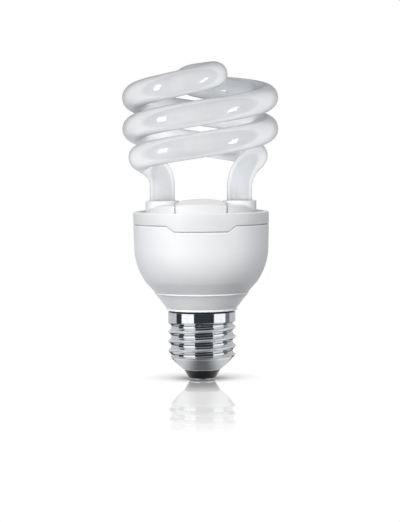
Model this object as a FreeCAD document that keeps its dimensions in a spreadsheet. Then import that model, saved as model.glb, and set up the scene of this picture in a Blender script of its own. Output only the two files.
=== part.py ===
"""Spiral compact fluorescent lamp with an E27 screw cap, in millimetres, cap down and tube up.

The origin is the middle of the centre contact's lower face. The front, with the cover's tab, faces -Y,
and the two legs of the tube stand on the X axis.
"""
import FreeCAD
import Part
import math
import os
import types

import Sketcher

V = FreeCAD.Vector

VALUES = {
    # Centre contact and glass insulator
    "contact_radius": 5.0,
    "contact_height": 1.1,
    "contact_edge": 0.5,
    "eyelet_radius": 2.0,
    "eyelet_proud": 0.4,
    "insulator_foot_radius": 5.2,
    "insulator_height": 2.7,
    "insulator_step": 0.1,
    "insulator_rise": 2.0,
    # Screw shell, E27
    "shell_bottom_radius": 7.0,
    "shell_cone_slope": 1.02,
    "shell_cone_wall": 0.64,
    "shell_wall": 0.6,
    "thread_root": 12.0,
    "thread_depth": 1.13,
    "thread_pitch": 3.629,
    "thread_half_base": 1.45,
    "thread_bury": 0.3,
    "thread_lead": 2.23,
    "thread_turns": 4.9,
    "band_step": 1.2,
    "thread_zone": 19.6,
    "band_flare": 0.6,
    "band_height": 2.7,
    "lip_height": 0.3,
    "shell_lip": 0.4,
    # Housing
    "neck_clearance": 0.1,
    "neck_length": 12.8,
    "neck_wall": 1.5,
    "foot_step": 0.3,
    "flare_spread": 1.1,
    "flare_height": 2.4,
    "flare_curve": 9.0,
    "cone_spread": 2.95,
    "cone_height": 3.95,
    "crease_step": 0.35,
    "crease_height": 0.2,
    "knee_inset": 4.41,
    "knee_height": 4.95,
    "cup_curve": 19.0,
    "cup_draft": 0.25,
    "cup_height": 11.9,
    "seam_radius": 26.2,
    "socket_height": 10.5,
    "seam_bevel": 0.25,
    "wall": 2.2,
    "socket_wall": 1.75,
    # Top cover
    "spigot_clearance": 0.1,
    "spigot_wall": 1.4,
    "cover_height": 4.9,
    "rim_round": 0.7,
    "rim_width": 1.5,
    "recess_depth": 1.4,
    "plate_thickness": 1.6,
    "recess_width": 3.3,
    "platform_height": 2.2,
    "platform_slope": 2.0,
    "platform_root": 0.5,
    "bridge_half_width": 9.8,
    "bridge_proud": 0.4,
    "bridge_step": 0.4,
    "dome_rise": 1.35,
    "collar_wall": 1.05,
    "collar_height": 1.0,
    "collar_skirt": 3.9,
    "tab_half_foot": 10.3,
    "tab_half_top": 13.2,
    "tab_drop": 2.2,
    "tab_clearance": 0.12,
    # Spiral tube
    "tube_radius": 4.85,
    "leg_spacing": 29.8,
    "leg_tail": 2.5,
    "stub_radius": 1.6,
    "stub_drop": 3.0,
    "stub_length": 1.5,
    "cement_gap": 0.75,
    "cement_inset": 1.5,
    "cement_recess": 0.6,
    "coil_radius": 25.25,
    "coil_pitch": 24.0,
    "coil_right_rise": 27.9,
    "top_bridge_rise": 48.4,
    "top_bridge_heading_angle": 130.0,
    "top_bridge_fall_angle": 3.5,
    "left_leg_rise": 6.5,
    "left_neck_rise": 10.2,
    "left_neck_reach": 16.2,
    "left_coil_start_angle": 222.0,
    "left_coil_end_angle": 540.0,
    "left_lull_angle": 587.0,
    "left_lull_drop": 0.0,
    "left_lull_flatness": 0.0,
    "left_turn_reach": 16.6,
    "left_bridge_reach": 24.6,
    "right_leg_rise": 4.8,
    "right_neck_rise": 13.4,
    "right_neck_reach": 19.4,
    "right_coil_start_angle": 236.0,
    "right_coil_end_angle": 550.0,
    "right_lull_angle": 611.0,
    "right_lull_drop": 0.9,
    "right_lull_flatness": 0.4,
    "right_turn_reach": 10.0,
    "right_bridge_reach": 18.5,
    # Circuit board and its leads
    "board_drop": 12.1,
    "board_thickness": 1.6,
    "board_clearance": 0.3,
    "ledge_width": 1.8,
    "ballast_room": 22.65,
    "lead_radius": 0.35,
    "lead_proud": 0.8,
    "lead_clearance": 0.1,
    "pin_radius": 0.5,
    "pin_gap": 4.0,
    "pin_foot": 0.3,
    "pin_spread": 4.8,
    "wire_radius": 0.3,
    "wire_spread": 0.8,
    "wire_drop": 1.0,
    "wire_bend": 0.7,
    "cable_radius": 0.45,
    "cable_bend": 3.0,
    "live_x": 6.5,
    "live_y": -5.5,
    "live_turn_rise": 6.0,
    "live_join_rise": 4.8,
    "neutral_x": -6.0,
    "neutral_y": 6.5,
    "neutral_drop": 2.2,
    "neutral_bend": 1.2,
    # Bulk capacitor, in the neck
    "bulk_radius": 5.0,
    "bulk_height": 21.0,
    "bulk_crimp": 0.4,
    "bulk_crimp_drop": 2.6,
    "bulk_pitch": 5.0,
    # Choke
    "choke_x": -12.0,
    "choke_width": 10.2,
    "choke_depth": 4.8,
    "choke_half_height": 5.5,
    "choke_window": 4.1,
    "choke_middle_leg": 2.5,
    "choke_outer_leg": 1.5,
    "bobbin_clearance": 0.1,
    "bobbin_wall": 0.6,
    "bobbin_half_depth": 5.0,
    "bobbin_pin_spread": 9.2,
    "winding_thickness": 1.3,
    # Drive transformer
    "toroid_x": 12.5,
    "toroid_outer": 4.75,
    "toroid_inner": 2.4,
    "toroid_height": 4.0,
    "turn_wire": 0.6,
    "turn_width": 1.6,
    "turn_slack": 0.2,
    # Switching transistors
    "transistor_x": 9.5,
    "transistor_y": 10.5,
    "transistor_width": 8.0,
    "transistor_thickness": 3.2,
    "transistor_height": 11.0,
    "transistor_hole": 1.5,
    "transistor_hole_drop": 8.4,
    "transistor_pitch": 2.3,
    # Film capacitors
    "start_cap_y": -15.0,
    "start_cap_width": 11.0,
    "start_cap_depth": 4.5,
    "start_cap_height": 9.0,
    "start_cap_pitch": 7.5,
    "block_cap_x": -1.0,
    "block_cap_y": 15.0,
    "block_cap_width": 10.0,
    "block_cap_depth": 4.0,
    "block_cap_height": 8.0,
    "block_cap_pitch": 7.5,
    # Disc parts
    "snubber_y": -20.0,
    "snubber_radius": 3.0,
    "snubber_thickness": 2.0,
    "snubber_pitch": 3.0,
    "thermistor_x": -18.9,
    "thermistor_y": -3.0,
    "thermistor_radius": 3.2,
    "thermistor_thickness": 2.5,
    "thermistor_pitch": 4.0,
    # Lying parts
    "diode_radius": 1.35,
    "diode_length": 5.0,
    "diode_side_x": 17.5,
    "diode_side_y": 9.0,
    "diode_end_x": 10.5,
    "diode_end_y": 16.0,
    "diac_radius": 1.0,
    "diac_length": 3.8,
    "diac_x": -17.0,
    "diac_y": 10.0,
    "resistor_radius": 0.9,
    "resistor_length": 4.0,
    "resistor_y": 19.3,
    "resistor_first_x": -7.5,
    "resistor_step": 5.0,
    "fuse_radius": 1.6,
    "fuse_length": 8.0,
    "fuse_x": -10.5,
    "fuse_y": 12.0,
    "lead_inset": 0.8,
    # Input inductor
    "drum_x": -11.5,
    "drum_y": -11.0,
    "drum_radius": 3.5,
    "drum_waist": 2.9,
    "drum_height": 9.0,
    "drum_flange": 1.2,
    "drum_pitch": 3.6,
}

# Values that give the ballast's sizes and places in plan
BALLAST_PLAN = (
    "bulk_radius", "bulk_pitch", "choke_x", "choke_width", "choke_depth", "choke_middle_leg",
    "choke_outer_leg", "bobbin_half_depth", "bobbin_pin_spread", "winding_thickness", "toroid_x",
    "toroid_outer", "toroid_inner", "turn_width", "transistor_x", "transistor_y", "transistor_width",
    "transistor_thickness", "transistor_pitch", "start_cap_y", "start_cap_width", "start_cap_depth",
    "start_cap_pitch", "block_cap_x", "block_cap_y", "block_cap_width", "block_cap_depth",
    "block_cap_pitch", "snubber_y", "snubber_radius", "snubber_thickness", "snubber_pitch",
    "thermistor_x", "thermistor_y", "thermistor_radius", "thermistor_thickness",
    "thermistor_pitch", "diode_radius", "diode_length", "diode_side_x", "diode_side_y", "diode_end_x",
    "diode_end_y", "diac_radius", "diac_length", "diac_x", "diac_y", "resistor_radius", "resistor_length",
    "resistor_y", "resistor_first_x", "resistor_step", "fuse_radius", "fuse_length", "fuse_x", "fuse_y",
    "drum_x", "drum_y", "drum_radius", "drum_waist", "drum_pitch",
)

BOX_MARGIN = 2.0


class Size:
    """A length or angle: its number, and the text that binds it to the sheet."""

    def __init__(self, number, text):
        self.number = number
        self.text = text

    def __add__(self, other):
        other = as_size(other)
        return Size(self.number + other.number, f"({self.text} + {other.text})")

    def __sub__(self, other):
        other = as_size(other)
        return Size(self.number - other.number, f"({self.text} - {other.text})")

    def __mul__(self, other):
        other = as_size(other)
        return Size(self.number * other.number, f"({self.text} * {other.text})")

    def __truediv__(self, other):
        other = as_size(other)
        return Size(self.number / other.number, f"({self.text} / {other.text})")

    def __rsub__(self, other):
        return as_size(other) - self

    def __neg__(self):
        return self * -1.0

    __radd__ = __add__
    __rmul__ = __mul__


def as_size(value):
    """Return a plain number as a size, and a size as it is."""
    if isinstance(value, Size):
        return value
    return Size(float(value), f"({float(value):.9f})")


doc = FreeCAD.newDocument("spiral_lamp")
sheet = doc.addObject("Spreadsheet::Sheet", "Sizes")
for row, (alias, number) in enumerate(VALUES.items(), start=1):
    sheet.set(f"A{row}", alias)
    sheet.set(f"B{row}", str(number))
    sheet.setAlias(f"B{row}", alias)
doc.recompute()
s = types.SimpleNamespace(**{alias: Size(number, f"Sizes.{alias}") for alias, number in VALUES.items()})


# Sketches and turned or padded bodies

def fix_corner(sketch, edge, end, corner):
    """Hold one end of an edge at a corner's two sizes, or on the axis where a size is zero."""
    for kind, axis, size in (("DistanceX", -2, corner[0]), ("DistanceY", -1, corner[1])):
        size = as_size(size)
        if size.number == 0.0:
            sketch.addConstraint(Sketcher.Constraint("PointOnObject", edge, end, axis))
        else:
            index = sketch.addConstraint(Sketcher.Constraint(kind, -1, 1, edge, end, size.number))
            sketch.setExpression(f"Constraints[{index}]", size.text)


def arc_between(start, finish, radius, turn):
    """Return the shorter arc from start to finish, to the left (turn 1) or to the right (turn -1)."""
    chord = finish - start
    height = math.sqrt(radius * radius - chord.Length ** 2 / 4)
    normal = V(-chord.y, chord.x, 0).normalize()
    centre = (start + finish) / 2 + normal * height * turn
    first, last = (start, finish) if turn > 0 else (finish, start)
    angles = [math.atan2(point.y - centre.y, point.x - centre.x) for point in (first, last)]
    return Part.ArcOfCircle(Part.Circle(centre, V(0, 0, 1), radius), *angles)


def draw(sketch, corners):
    """Draw a closed outline through the corners: (x, y), or (x, y, radius, turn) before an arc."""
    count = len(corners)
    spots = [V(as_size(corner[0]).number, as_size(corner[1]).number, 0) for corner in corners]
    starts = [2 if len(corner) == 4 and corner[3] < 0 else 1 for corner in corners]
    for edge, corner in enumerate(corners):
        start, finish = spots[edge], spots[(edge + 1) % count]
        if len(corner) == 2:
            sketch.addGeometry(Part.LineSegment(start, finish), False)
        else:
            sketch.addGeometry(arc_between(start, finish, corner[2].number, corner[3]), False)
    for edge, corner in enumerate(corners):
        following = (edge + 1) % count
        sketch.addConstraint(
            Sketcher.Constraint("Coincident", edge, 3 - starts[edge], following, starts[following]))
        fix_corner(sketch, edge, starts[edge], corner)
        if len(corner) == 4:
            index = sketch.addConstraint(Sketcher.Constraint("Radius", edge, corner[2].number))
            sketch.setExpression(f"Constraints[{index}]", corner[2].text)


def upright_sketch(body, name, corners):
    """Draw an outline in the body's XZ plane."""
    sketch = body.newObject("Sketcher::SketchObject", name)
    plane = next(part for part in body.Origin.OriginFeatures if part.Role == "XZ_Plane")
    sketch.AttachmentSupport = [(plane, "")]
    sketch.MapMode = "FlatFace"
    draw(sketch, corners)
    return sketch


def move(thing, at):
    """Bind the thing's place to three sizes."""
    for axis, size in zip("xyz", at):
        size = as_size(size)
        if size.number != 0.0:
            thing.setExpression(f"Placement.Base.{axis}", size.text)


def new_body(label):
    """Start an empty body."""
    body = doc.addObject("PartDesign::Body", label)
    body.Label = label
    return body


def turned(label, corners, at=(0, 0, 0)):
    """Turn an outline of radii and heights about the Z axis."""
    body = new_body(label)
    sketch = upright_sketch(body, f"{label}_section", corners)
    feature = body.newObject("PartDesign::Revolution", f"{label}_turning")
    feature.Profile = sketch
    feature.ReferenceAxis = (sketch, ["V_Axis"])
    feature.Angle = 360
    move(body, at)
    return body


def padded(label, corners, depth, at=(0, 0, 0), turn=0):
    """Pad an outline of the XZ plane by a depth towards -Y, and turn it about the Y axis."""
    body = new_body(label)
    sketch = upright_sketch(body, f"{label}_outline", corners)
    feature = body.newObject("PartDesign::Pad", f"{label}_pad")
    feature.Profile = sketch
    feature.setExpression("Length", as_size(depth).text)
    body.Placement = FreeCAD.Placement(V(), FreeCAD.Rotation(V(0, 1, 0), turn))
    move(body, at)
    return body


# Blocks, rods and what joins them

def block(name, width, depth, height, at, turn=0):
    """Make a block, turned about its own middle: at is the middle of its lower face."""
    solid = doc.addObject("Part::Box", name)
    for side, size in (("Length", width), ("Width", depth), ("Height", height)):
        solid.setExpression(side, as_size(size).text)
    solid.Placement = FreeCAD.Placement(V(), FreeCAD.Rotation(V(0, 0, 1), turn))
    cosine, sine = math.cos(math.radians(turn)), math.sin(math.radians(turn))
    corner_x = width * (cosine / 2) - depth * (sine / 2)
    corner_y = width * (sine / 2) + depth * (cosine / 2)
    move(solid, (at[0] - corner_x, at[1] - corner_y, at[2]))
    return solid


def rod(name, radius, height, at):
    """Make an upright rod on the spot at."""
    solid = doc.addObject("Part::Cylinder", name)
    solid.setExpression("Radius", as_size(radius).text)
    solid.setExpression("Height", as_size(height).text)
    move(solid, at)
    return solid


def lying_rod(name, radius, length, at, along):
    """Make a rod that lies along X or Y with its middle at the spot."""
    solid = rod(name, radius, length, (0, 0, 0))
    if along == "x":
        solid.Placement = FreeCAD.Placement(V(), FreeCAD.Rotation(V(0, 1, 0), 90))
        move(solid, (at[0] - length / 2, at[1], at[2]))
    else:
        solid.Placement = FreeCAD.Placement(V(), FreeCAD.Rotation(V(1, 0, 0), -90))
        move(solid, (at[0], at[1] - length / 2, at[2]))
    return solid


def fused(label, things):
    """Join things that touch into one solid."""
    whole = doc.addObject("Part::MultiFuse", label)
    whole.Label = label
    whole.Shapes = things
    return whole


def shared(label, things):
    """Keep what two things have in common."""
    whole = doc.addObject("Part::MultiCommon", label)
    whole.Label = label
    whole.Shapes = things
    return whole


def cut(label, base, tool):
    """Take the tool out of the base."""
    whole = doc.addObject("Part::Cut", label)
    whole.Label = label
    whole.Base = base
    whole.Tool = tool
    return whole


def grouped(label, things):
    """Keep alike solids together in one group."""
    whole = doc.addObject("Part::Compound", label)
    whole.Label = label
    whole.Links = things
    return whole


def from_shape(label, shape):
    """Keep a shape made from curves."""
    thing = doc.addObject("Part::Feature", label)
    thing.Label = label
    thing.Shape = shape
    thing.Placement = FreeCAD.Placement()
    return thing


# Sizes that follow from others: levels of the cap, stacked up from the contact

shell_bottom = s.contact_height + s.insulator_height
insulator_top = shell_bottom + s.insulator_rise
eyelet_top = insulator_top + s.eyelet_proud
thread_start = shell_bottom + s.thread_lead
band_bottom = shell_bottom + s.thread_zone
band_top = band_bottom + s.band_height
shell_top = band_top + s.shell_lip + s.lip_height

# Levels of the housing and the cover

neck_bottom = shell_top - s.neck_length
flare_level = shell_top + s.flare_height
crease_level = flare_level + s.cone_height
knee_level = crease_level + s.knee_height
cup_level = knee_level + s.cup_height
seam_level = cup_level + s.socket_height
tab_level = seam_level - s.tab_drop
rim_level = seam_level + s.cover_height
recess_level = rim_level - s.recess_depth
plate_level = recess_level - s.plate_thickness
platform_foot = recess_level - s.platform_root
platform_side_level = recess_level + s.platform_height
platform_shoulder_level = platform_side_level + s.platform_slope
bridge_edge_level = platform_shoulder_level + s.bridge_step
dome_level = bridge_edge_level + s.dome_rise
collar_level = platform_shoulder_level + s.collar_height
collar_foot = plate_level - s.collar_skirt
cement_foot = collar_foot + s.cement_inset
cement_top = collar_level - s.cement_recess

# Levels of the tube and the board

leg_end = collar_foot - s.leg_tail
stub_end = leg_end - s.stub_drop
coil_right_level = collar_level + s.coil_right_rise
top_bridge_level = collar_level + s.top_bridge_rise
board_level = seam_level - s.board_drop
board_top = board_level + s.board_thickness
lead_top = board_top + s.lead_proud
pin_top = collar_foot - s.pin_gap
pin_bottom = board_level - s.pin_foot

# Radii

insulator_top_radius = s.shell_bottom_radius - s.insulator_step
shell_bore = s.thread_root - s.shell_wall
shell_cone_top = shell_bottom + (s.thread_root - s.shell_bottom_radius) / s.shell_cone_slope
shell_throat = s.shell_bottom_radius - s.shell_cone_wall
shell_cone_inside = shell_bottom + (shell_bore - shell_throat) / s.shell_cone_slope
insulator_shoulder = shell_throat + s.insulator_rise * s.shell_cone_slope
band_radius = s.thread_root + s.band_step
neck_radius = shell_bore - s.neck_clearance
neck_inside = neck_radius - s.neck_wall
foot_radius = band_radius + s.foot_step
flare_radius = foot_radius + s.flare_spread
cone_top_radius = flare_radius + s.cone_spread
knee_radius = s.seam_radius - s.knee_inset
cup_radius = s.seam_radius - s.cup_draft
cavity_radius = s.seam_radius - s.socket_wall
board_radius = cavity_radius - s.board_clearance
ledge_radius = cavity_radius - s.ledge_width
spigot_radius = cavity_radius - s.spigot_clearance
rim_inside = s.seam_radius - s.rim_width
platform_radius = rim_inside - s.recess_width
bridge_radius = platform_radius + s.bridge_proud
leg_x = s.leg_spacing / 2
collar_bore = s.tube_radius + s.cement_gap
collar_radius = collar_bore + s.collar_wall

# The ballast's parts and their places in plan grow with the room inside the ledge

room = ledge_radius / s.ballast_room
for name in BALLAST_PLAN:
    setattr(s, name, getattr(s, name) * room)


# Cap: contact, insulator and screw shell

turned("centre_contact", [
    (0, 0),
    (s.contact_radius - s.contact_edge, 0, s.contact_edge, 1),
    (s.contact_radius, s.contact_edge),
    (s.contact_radius, s.contact_height),
    (s.eyelet_radius, s.contact_height),
    (s.eyelet_radius, eyelet_top),
    (s.cable_radius, eyelet_top),
    (s.cable_radius, s.contact_height),
    (0, s.contact_height),
])

turned("insulator", [
    (s.eyelet_radius, s.contact_height),
    (s.insulator_foot_radius, s.contact_height),
    (insulator_top_radius, shell_bottom),
    (shell_throat, shell_bottom),
    (insulator_shoulder, insulator_top),
    (s.eyelet_radius, insulator_top),
])

shell = turned("screw_shell", [
    (shell_throat, shell_bottom),
    (s.shell_bottom_radius, shell_bottom),
    (s.thread_root, shell_cone_top),
    (s.thread_root, band_bottom - s.band_flare),
    (band_radius, band_bottom),
    (band_radius, band_top),
    (band_radius - s.shell_lip, band_top + s.shell_lip),
    (band_radius - s.shell_lip, shell_top),
    (shell_bore, shell_top),
    (shell_bore, shell_cone_inside),
])
ridge_reach = s.thread_half_base * s.thread_half_base + s.thread_depth * s.thread_depth
ridge_curve = ridge_reach / (s.thread_depth * 2)
ridge = upright_sketch(shell, "thread_ridge", [
    (s.thread_root - s.thread_bury, thread_start - s.thread_half_base),
    (s.thread_root, thread_start - s.thread_half_base, ridge_curve, 1),
    (s.thread_root, thread_start + s.thread_half_base),
    (s.thread_root - s.thread_bury, thread_start + s.thread_half_base),
])
thread = shell.newObject("PartDesign::AdditiveHelix", "thread")
thread.Profile = ridge
thread.ReferenceAxis = (ridge, ["V_Axis"])
thread.Mode = "pitch-turns-angle"
thread.setExpression("Pitch", s.thread_pitch.text)
thread.setExpression("Turns", s.thread_turns.text)
thread.LeftHanded = False
doc.recompute()
thread_full = shell.Shape.Volume

# The lowest turn runs out on the line of the cone
run_out_radius = s.thread_root + s.thread_depth * 2
run_out_foot = thread_start - s.thread_half_base * 2
run_out = upright_sketch(shell, "thread_run_out", [
    (s.shell_bottom_radius + (run_out_foot - shell_bottom) * s.shell_cone_slope, run_out_foot),
    (run_out_radius + s.thread_depth, run_out_foot),
    (run_out_radius + s.thread_depth,
     shell_bottom + (run_out_radius - s.shell_bottom_radius) / s.shell_cone_slope),
    (run_out_radius, shell_bottom + (run_out_radius - s.shell_bottom_radius) / s.shell_cone_slope),
])
trimming = shell.newObject("PartDesign::Groove", "thread_trimming")
trimming.Profile = run_out
trimming.ReferenceAxis = (run_out, ["V_Axis"])
trimming.Angle = 360


# Housing, with the notch that takes the cover's tab

housing_turning = turned("housing_turning", [
    (neck_inside, neck_bottom),
    (neck_radius, neck_bottom),
    (neck_radius, shell_top),
    (foot_radius, shell_top, s.flare_curve, 1),
    (flare_radius, flare_level),
    (cone_top_radius, crease_level),
    (cone_top_radius + s.crease_step, crease_level + s.crease_height),
    (knee_radius, knee_level, s.cup_curve, 1),
    (cup_radius, cup_level),
    (s.seam_radius, seam_level - s.seam_bevel),
    (s.seam_radius - s.seam_bevel, seam_level),
    (cavity_radius, seam_level),
    (cavity_radius, board_level),
    (ledge_radius, board_level),
    (ledge_radius, board_level - s.wall * 2),
    (knee_radius - s.wall, knee_level),
    (cone_top_radius - s.wall, crease_level),
    (flare_radius - s.wall, flare_level),
    (neck_inside, shell_top),
])


def tab_outline(gap):
    """Outline the cover's tab in the front view, grown by a gap."""
    foot, top = s.tab_half_foot + gap, s.tab_half_top + gap
    level, over = tab_level - gap, seam_level + BOX_MARGIN / 2
    return [(-foot, level), (foot, level), (top, seam_level - gap), (top, over),
            (-top, over), (-top, seam_level - gap)]


housing_notch = padded("housing_notch", tab_outline(s.tab_clearance), s.seam_radius + BOX_MARGIN)
cut("housing", housing_turning, housing_notch)


# Top cover

cover_turning = turned("cover_turning", [
    (0, plate_level),
    (spigot_radius - s.spigot_wall, plate_level),
    (spigot_radius - s.spigot_wall, board_top),
    (spigot_radius, board_top),
    (spigot_radius, seam_level),
    (s.seam_radius - s.seam_bevel, seam_level),
    (s.seam_radius, seam_level + s.seam_bevel),
    (s.seam_radius, rim_level - s.rim_round, s.rim_round, 1),
    (s.seam_radius - s.rim_round, rim_level),
    (rim_inside, rim_level),
    (rim_inside, recess_level),
    (0, recess_level),
])
platform_block = padded("platform_block", [
    (-platform_radius, platform_foot),
    (platform_radius, platform_foot),
    (platform_radius, platform_side_level),
    (s.bridge_half_width, platform_shoulder_level),
    (-s.bridge_half_width, platform_shoulder_level),
    (-platform_radius, platform_side_level),
], platform_radius * 2, (0, platform_radius, 0))
platform_round = rod("platform_round", platform_radius, dome_level - platform_foot, (0, 0, platform_foot))
platform = shared("platform", [platform_block, platform_round])
dome_curve = (bridge_radius * bridge_radius + s.dome_rise * s.dome_rise) / (s.dome_rise * 2)
bridge_dome = turned("bridge_dome", [
    (0, platform_foot),
    (bridge_radius, platform_foot),
    (bridge_radius, bridge_edge_level, dome_curve, 1),
    (0, dome_level),
])
bridge_block = block("bridge_block", s.bridge_half_width * 2, bridge_radius * 2 + BOX_MARGIN,
                     dome_level - platform_foot + BOX_MARGIN, (0, 0, platform_foot))
bridge = shared("bridge", [bridge_dome, bridge_block])
tab_prism = padded("tab_prism", tab_outline(0.0), s.seam_radius + BOX_MARGIN)
tab_ring = turned("tab_ring", [
    (spigot_radius, tab_level),
    (s.seam_radius - s.seam_bevel, tab_level),
    (s.seam_radius, tab_level + s.seam_bevel),
    (s.seam_radius, seam_level + s.seam_bevel * 2),
    (spigot_radius, seam_level + s.seam_bevel * 2),
])
tab = shared("tab", [tab_prism, tab_ring])
collars = [rod(f"collar_{side}", collar_radius, collar_level - collar_foot, (x, 0, collar_foot))
           for side, x in (("left", -leg_x), ("right", leg_x))]
bores = [rod(f"bore_{side}", collar_bore, collar_level - collar_foot + BOX_MARGIN * 2,
             (x, 0, collar_foot - BOX_MARGIN))
         for side, x in (("left", -leg_x), ("right", leg_x))]
cover_whole = fused("cover_whole", [cover_turning, platform, bridge, tab, *collars])
cut("top_cover", cover_whole, grouped("collar_bores", bores))

for side, x in (("left", -leg_x), ("right", leg_x)):
    turned(f"{side}_leg_cement", [
        (s.tube_radius, cement_foot),
        (collar_bore, cement_foot),
        (collar_bore, cement_top),
        (s.tube_radius, cement_top),
    ], (x, 0, 0))


# Spiral tube: two legs, two necks, two starts of one coil and the bridge between them

def cubic_edge(*poles):
    """Return the edge of a cubic curve from its four poles."""
    curve = Part.BezierCurve()
    curve.setPoles(list(poles))
    return curve.toShape()


def coil_point(angle, drop=0.0):
    """Return the coil's middle line at an angle in degrees, lowered by a drop."""
    turn = math.radians(angle)
    radius = s.coil_radius.number
    level = coil_right_level.number + s.coil_pitch.number * (angle - 360.0) / 360.0
    return V(radius * math.cos(turn), radius * math.sin(turn), level - drop)


def coil_heading(angle, flatter=0.0):
    """Return the coil's direction at an angle in degrees, with its rise made flatter by a share."""
    turn = math.radians(angle)
    rise = s.coil_pitch.number / (2 * math.pi * s.coil_radius.number)
    return V(-math.sin(turn), math.cos(turn), rise * (1.0 - flatter)).normalize()


def half_tube(side, fall):
    """Return the middle line's edges from a leg's foot to the middle of the bridge, as for the left leg."""
    def size(name):
        return getattr(s, f"{side}_{name}").number

    start, end, lull = size("coil_start_angle"), size("coil_end_angle"), size("lull_angle")
    foot = V(-leg_x.number, 0, leg_end.number)
    leg_top = V(foot.x, 0, collar_level.number + size("leg_rise"))
    joins, leaves = coil_point(start), coil_point(end)
    turns = Part.makeHelix(s.coil_pitch.number, leaves.z - joins.z, s.coil_radius.number)
    turns.rotate(V(), V(0, 0, 1), start)
    turns.translate(V(0, 0, joins.z))
    resting = coil_point(lull, size("lull_drop"))
    resting_heading = coil_heading(lull, size("lull_flatness"))
    arm = 4.0 / 3.0 * math.tan(math.radians(lull - end) / 4.0) * s.coil_radius.number
    heading, slope = math.radians(s.top_bridge_heading_angle.number), math.radians(fall)
    onward = V(math.cos(heading) * math.cos(slope), math.sin(heading) * math.cos(slope), -math.sin(slope))
    middle = V(0, 0, top_bridge_level.number)
    return [
        Part.makeLine(foot, leg_top),
        cubic_edge(leg_top, leg_top + V(0, 0, size("neck_rise")),
                   joins - coil_heading(start) * size("neck_reach"), joins),
        *turns.Edges,
        cubic_edge(leaves, leaves + coil_heading(end) * arm, resting - resting_heading * arm, resting),
        cubic_edge(resting, resting + resting_heading * size("turn_reach"),
                   middle - onward * size("bridge_reach"), middle),
    ]


def swept(path, radius):
    """Sweep a round section along joined edges."""
    start = path[0]
    section = Part.Wire(Part.makeCircle(radius, start.valueAt(start.FirstParameter),
                                        start.tangentAt(start.FirstParameter)))
    return Part.Wire(path).makePipeShell([section], True, False)


left_half = half_tube("left", s.top_bridge_fall_angle.number)
right_half = half_tube("right", -s.top_bridge_fall_angle.number)
for edge in right_half:
    edge.rotate(V(), V(0, 0, 1), 180)
middle_line = left_half + right_half[::-1]
tube = swept(middle_line, s.tube_radius.number)
left_foot = V(-leg_x.number, 0, leg_end.number)
right_foot = V(leg_x.number, 0, leg_end.number)
for foot in (left_foot, right_foot):
    stub_height = foot.z - stub_end.number
    taper = Part.makeCone(s.stub_radius.number, s.tube_radius.number, stub_height - s.stub_length.number,
                          V(foot.x, foot.y, stub_end.number + s.stub_length.number))
    stub = Part.makeCylinder(s.stub_radius.number, s.stub_length.number, V(foot.x, foot.y, stub_end.number))
    tube = tube.fuse(taper.fuse(stub))
from_shape("glass_tube", tube.removeSplitter())


# Leads and the board that takes them

lead_spots = []


def leads(name, spots, foot):
    """Make round leads from a foot height up through the board, and note their holes."""
    lead_spots.extend(spots)
    return [rod(f"{name}_lead_{number}", s.lead_radius, lead_top - foot, (x, y, foot))
            for number, (x, y) in enumerate(spots, start=1)]


def pair(x, y, pitch, along):
    """Return two spots a pitch apart along X or Y."""
    x, y = as_size(x), as_size(y)
    if along == "x":
        return [(x - pitch / 2, y), (x + pitch / 2, y)]
    return [(x, y - pitch / 2), (x, y + pitch / 2)]


# Parts that hang under the board

bulk_foot = board_level - s.bulk_height
crimp_level = board_level - s.bulk_crimp_drop
bulk_can = turned("bulk_can", [
    (0, bulk_foot),
    (s.bulk_radius, bulk_foot),
    (s.bulk_radius, crimp_level - s.bulk_crimp),
    (s.bulk_radius - s.bulk_crimp, crimp_level),
    (s.bulk_radius, crimp_level + s.bulk_crimp),
    (s.bulk_radius, board_level),
    (0, board_level),
])
fused("bulk_capacitor", [bulk_can, *leads("bulk", pair(0, 0, s.bulk_pitch, "x"), crimp_level)])

half_width, half_leg = s.choke_width / 2, s.choke_middle_leg / 2
window_side = half_width - s.choke_outer_leg
core_outline = [
    (-half_width, 0), (-window_side, 0), (-window_side, s.choke_window), (-half_leg, s.choke_window),
    (-half_leg, 0), (half_leg, 0), (half_leg, s.choke_window), (window_side, s.choke_window),
    (window_side, 0), (half_width, 0), (half_width, s.choke_half_height), (-half_width, s.choke_half_height),
]
core_level = board_level - s.choke_half_height
core_front = s.choke_depth / 2
padded("choke_core_upper", core_outline, s.choke_depth, (s.choke_x, core_front, core_level))
padded("choke_core_lower", core_outline, s.choke_depth, (s.choke_x, core_front, core_level), turn=180)
bobbin_foot = core_level - s.choke_window
bobbin_height = (s.choke_window - s.bobbin_clearance) * 2
sleeve_x = half_leg + s.bobbin_clearance
sleeve_y = core_front + s.bobbin_clearance
tube_x, tube_y = sleeve_x + s.bobbin_wall, sleeve_y + s.bobbin_wall
flange_x = window_side - s.bobbin_clearance
flange_top = bobbin_foot + bobbin_height
bobbin_solid = fused("bobbin_solid", [
    block("bobbin_lower_flange", flange_x * 2, s.bobbin_half_depth * 2, s.bobbin_wall,
          (s.choke_x, as_size(0), bobbin_foot)),
    block("bobbin_upper_flange", flange_x * 2, s.bobbin_half_depth * 2, s.bobbin_wall,
          (s.choke_x, as_size(0), flange_top - s.bobbin_wall)),
    block("bobbin_tube", tube_x * 2, tube_y * 2, bobbin_height, (s.choke_x, as_size(0), bobbin_foot)),
    *leads("bobbin", pair(s.choke_x, 0, s.bobbin_pin_spread, "y"), flange_top - s.bobbin_wall),
])
bobbin_sleeve = block("bobbin_sleeve", sleeve_x * 2, sleeve_y * 2, bobbin_height + BOX_MARGIN,
                      (s.choke_x, as_size(0), bobbin_foot - BOX_MARGIN / 2))
cut("choke_bobbin", bobbin_solid, bobbin_sleeve)
winding_foot = bobbin_foot + s.bobbin_wall
winding_height = bobbin_height - s.bobbin_wall * 2
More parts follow.
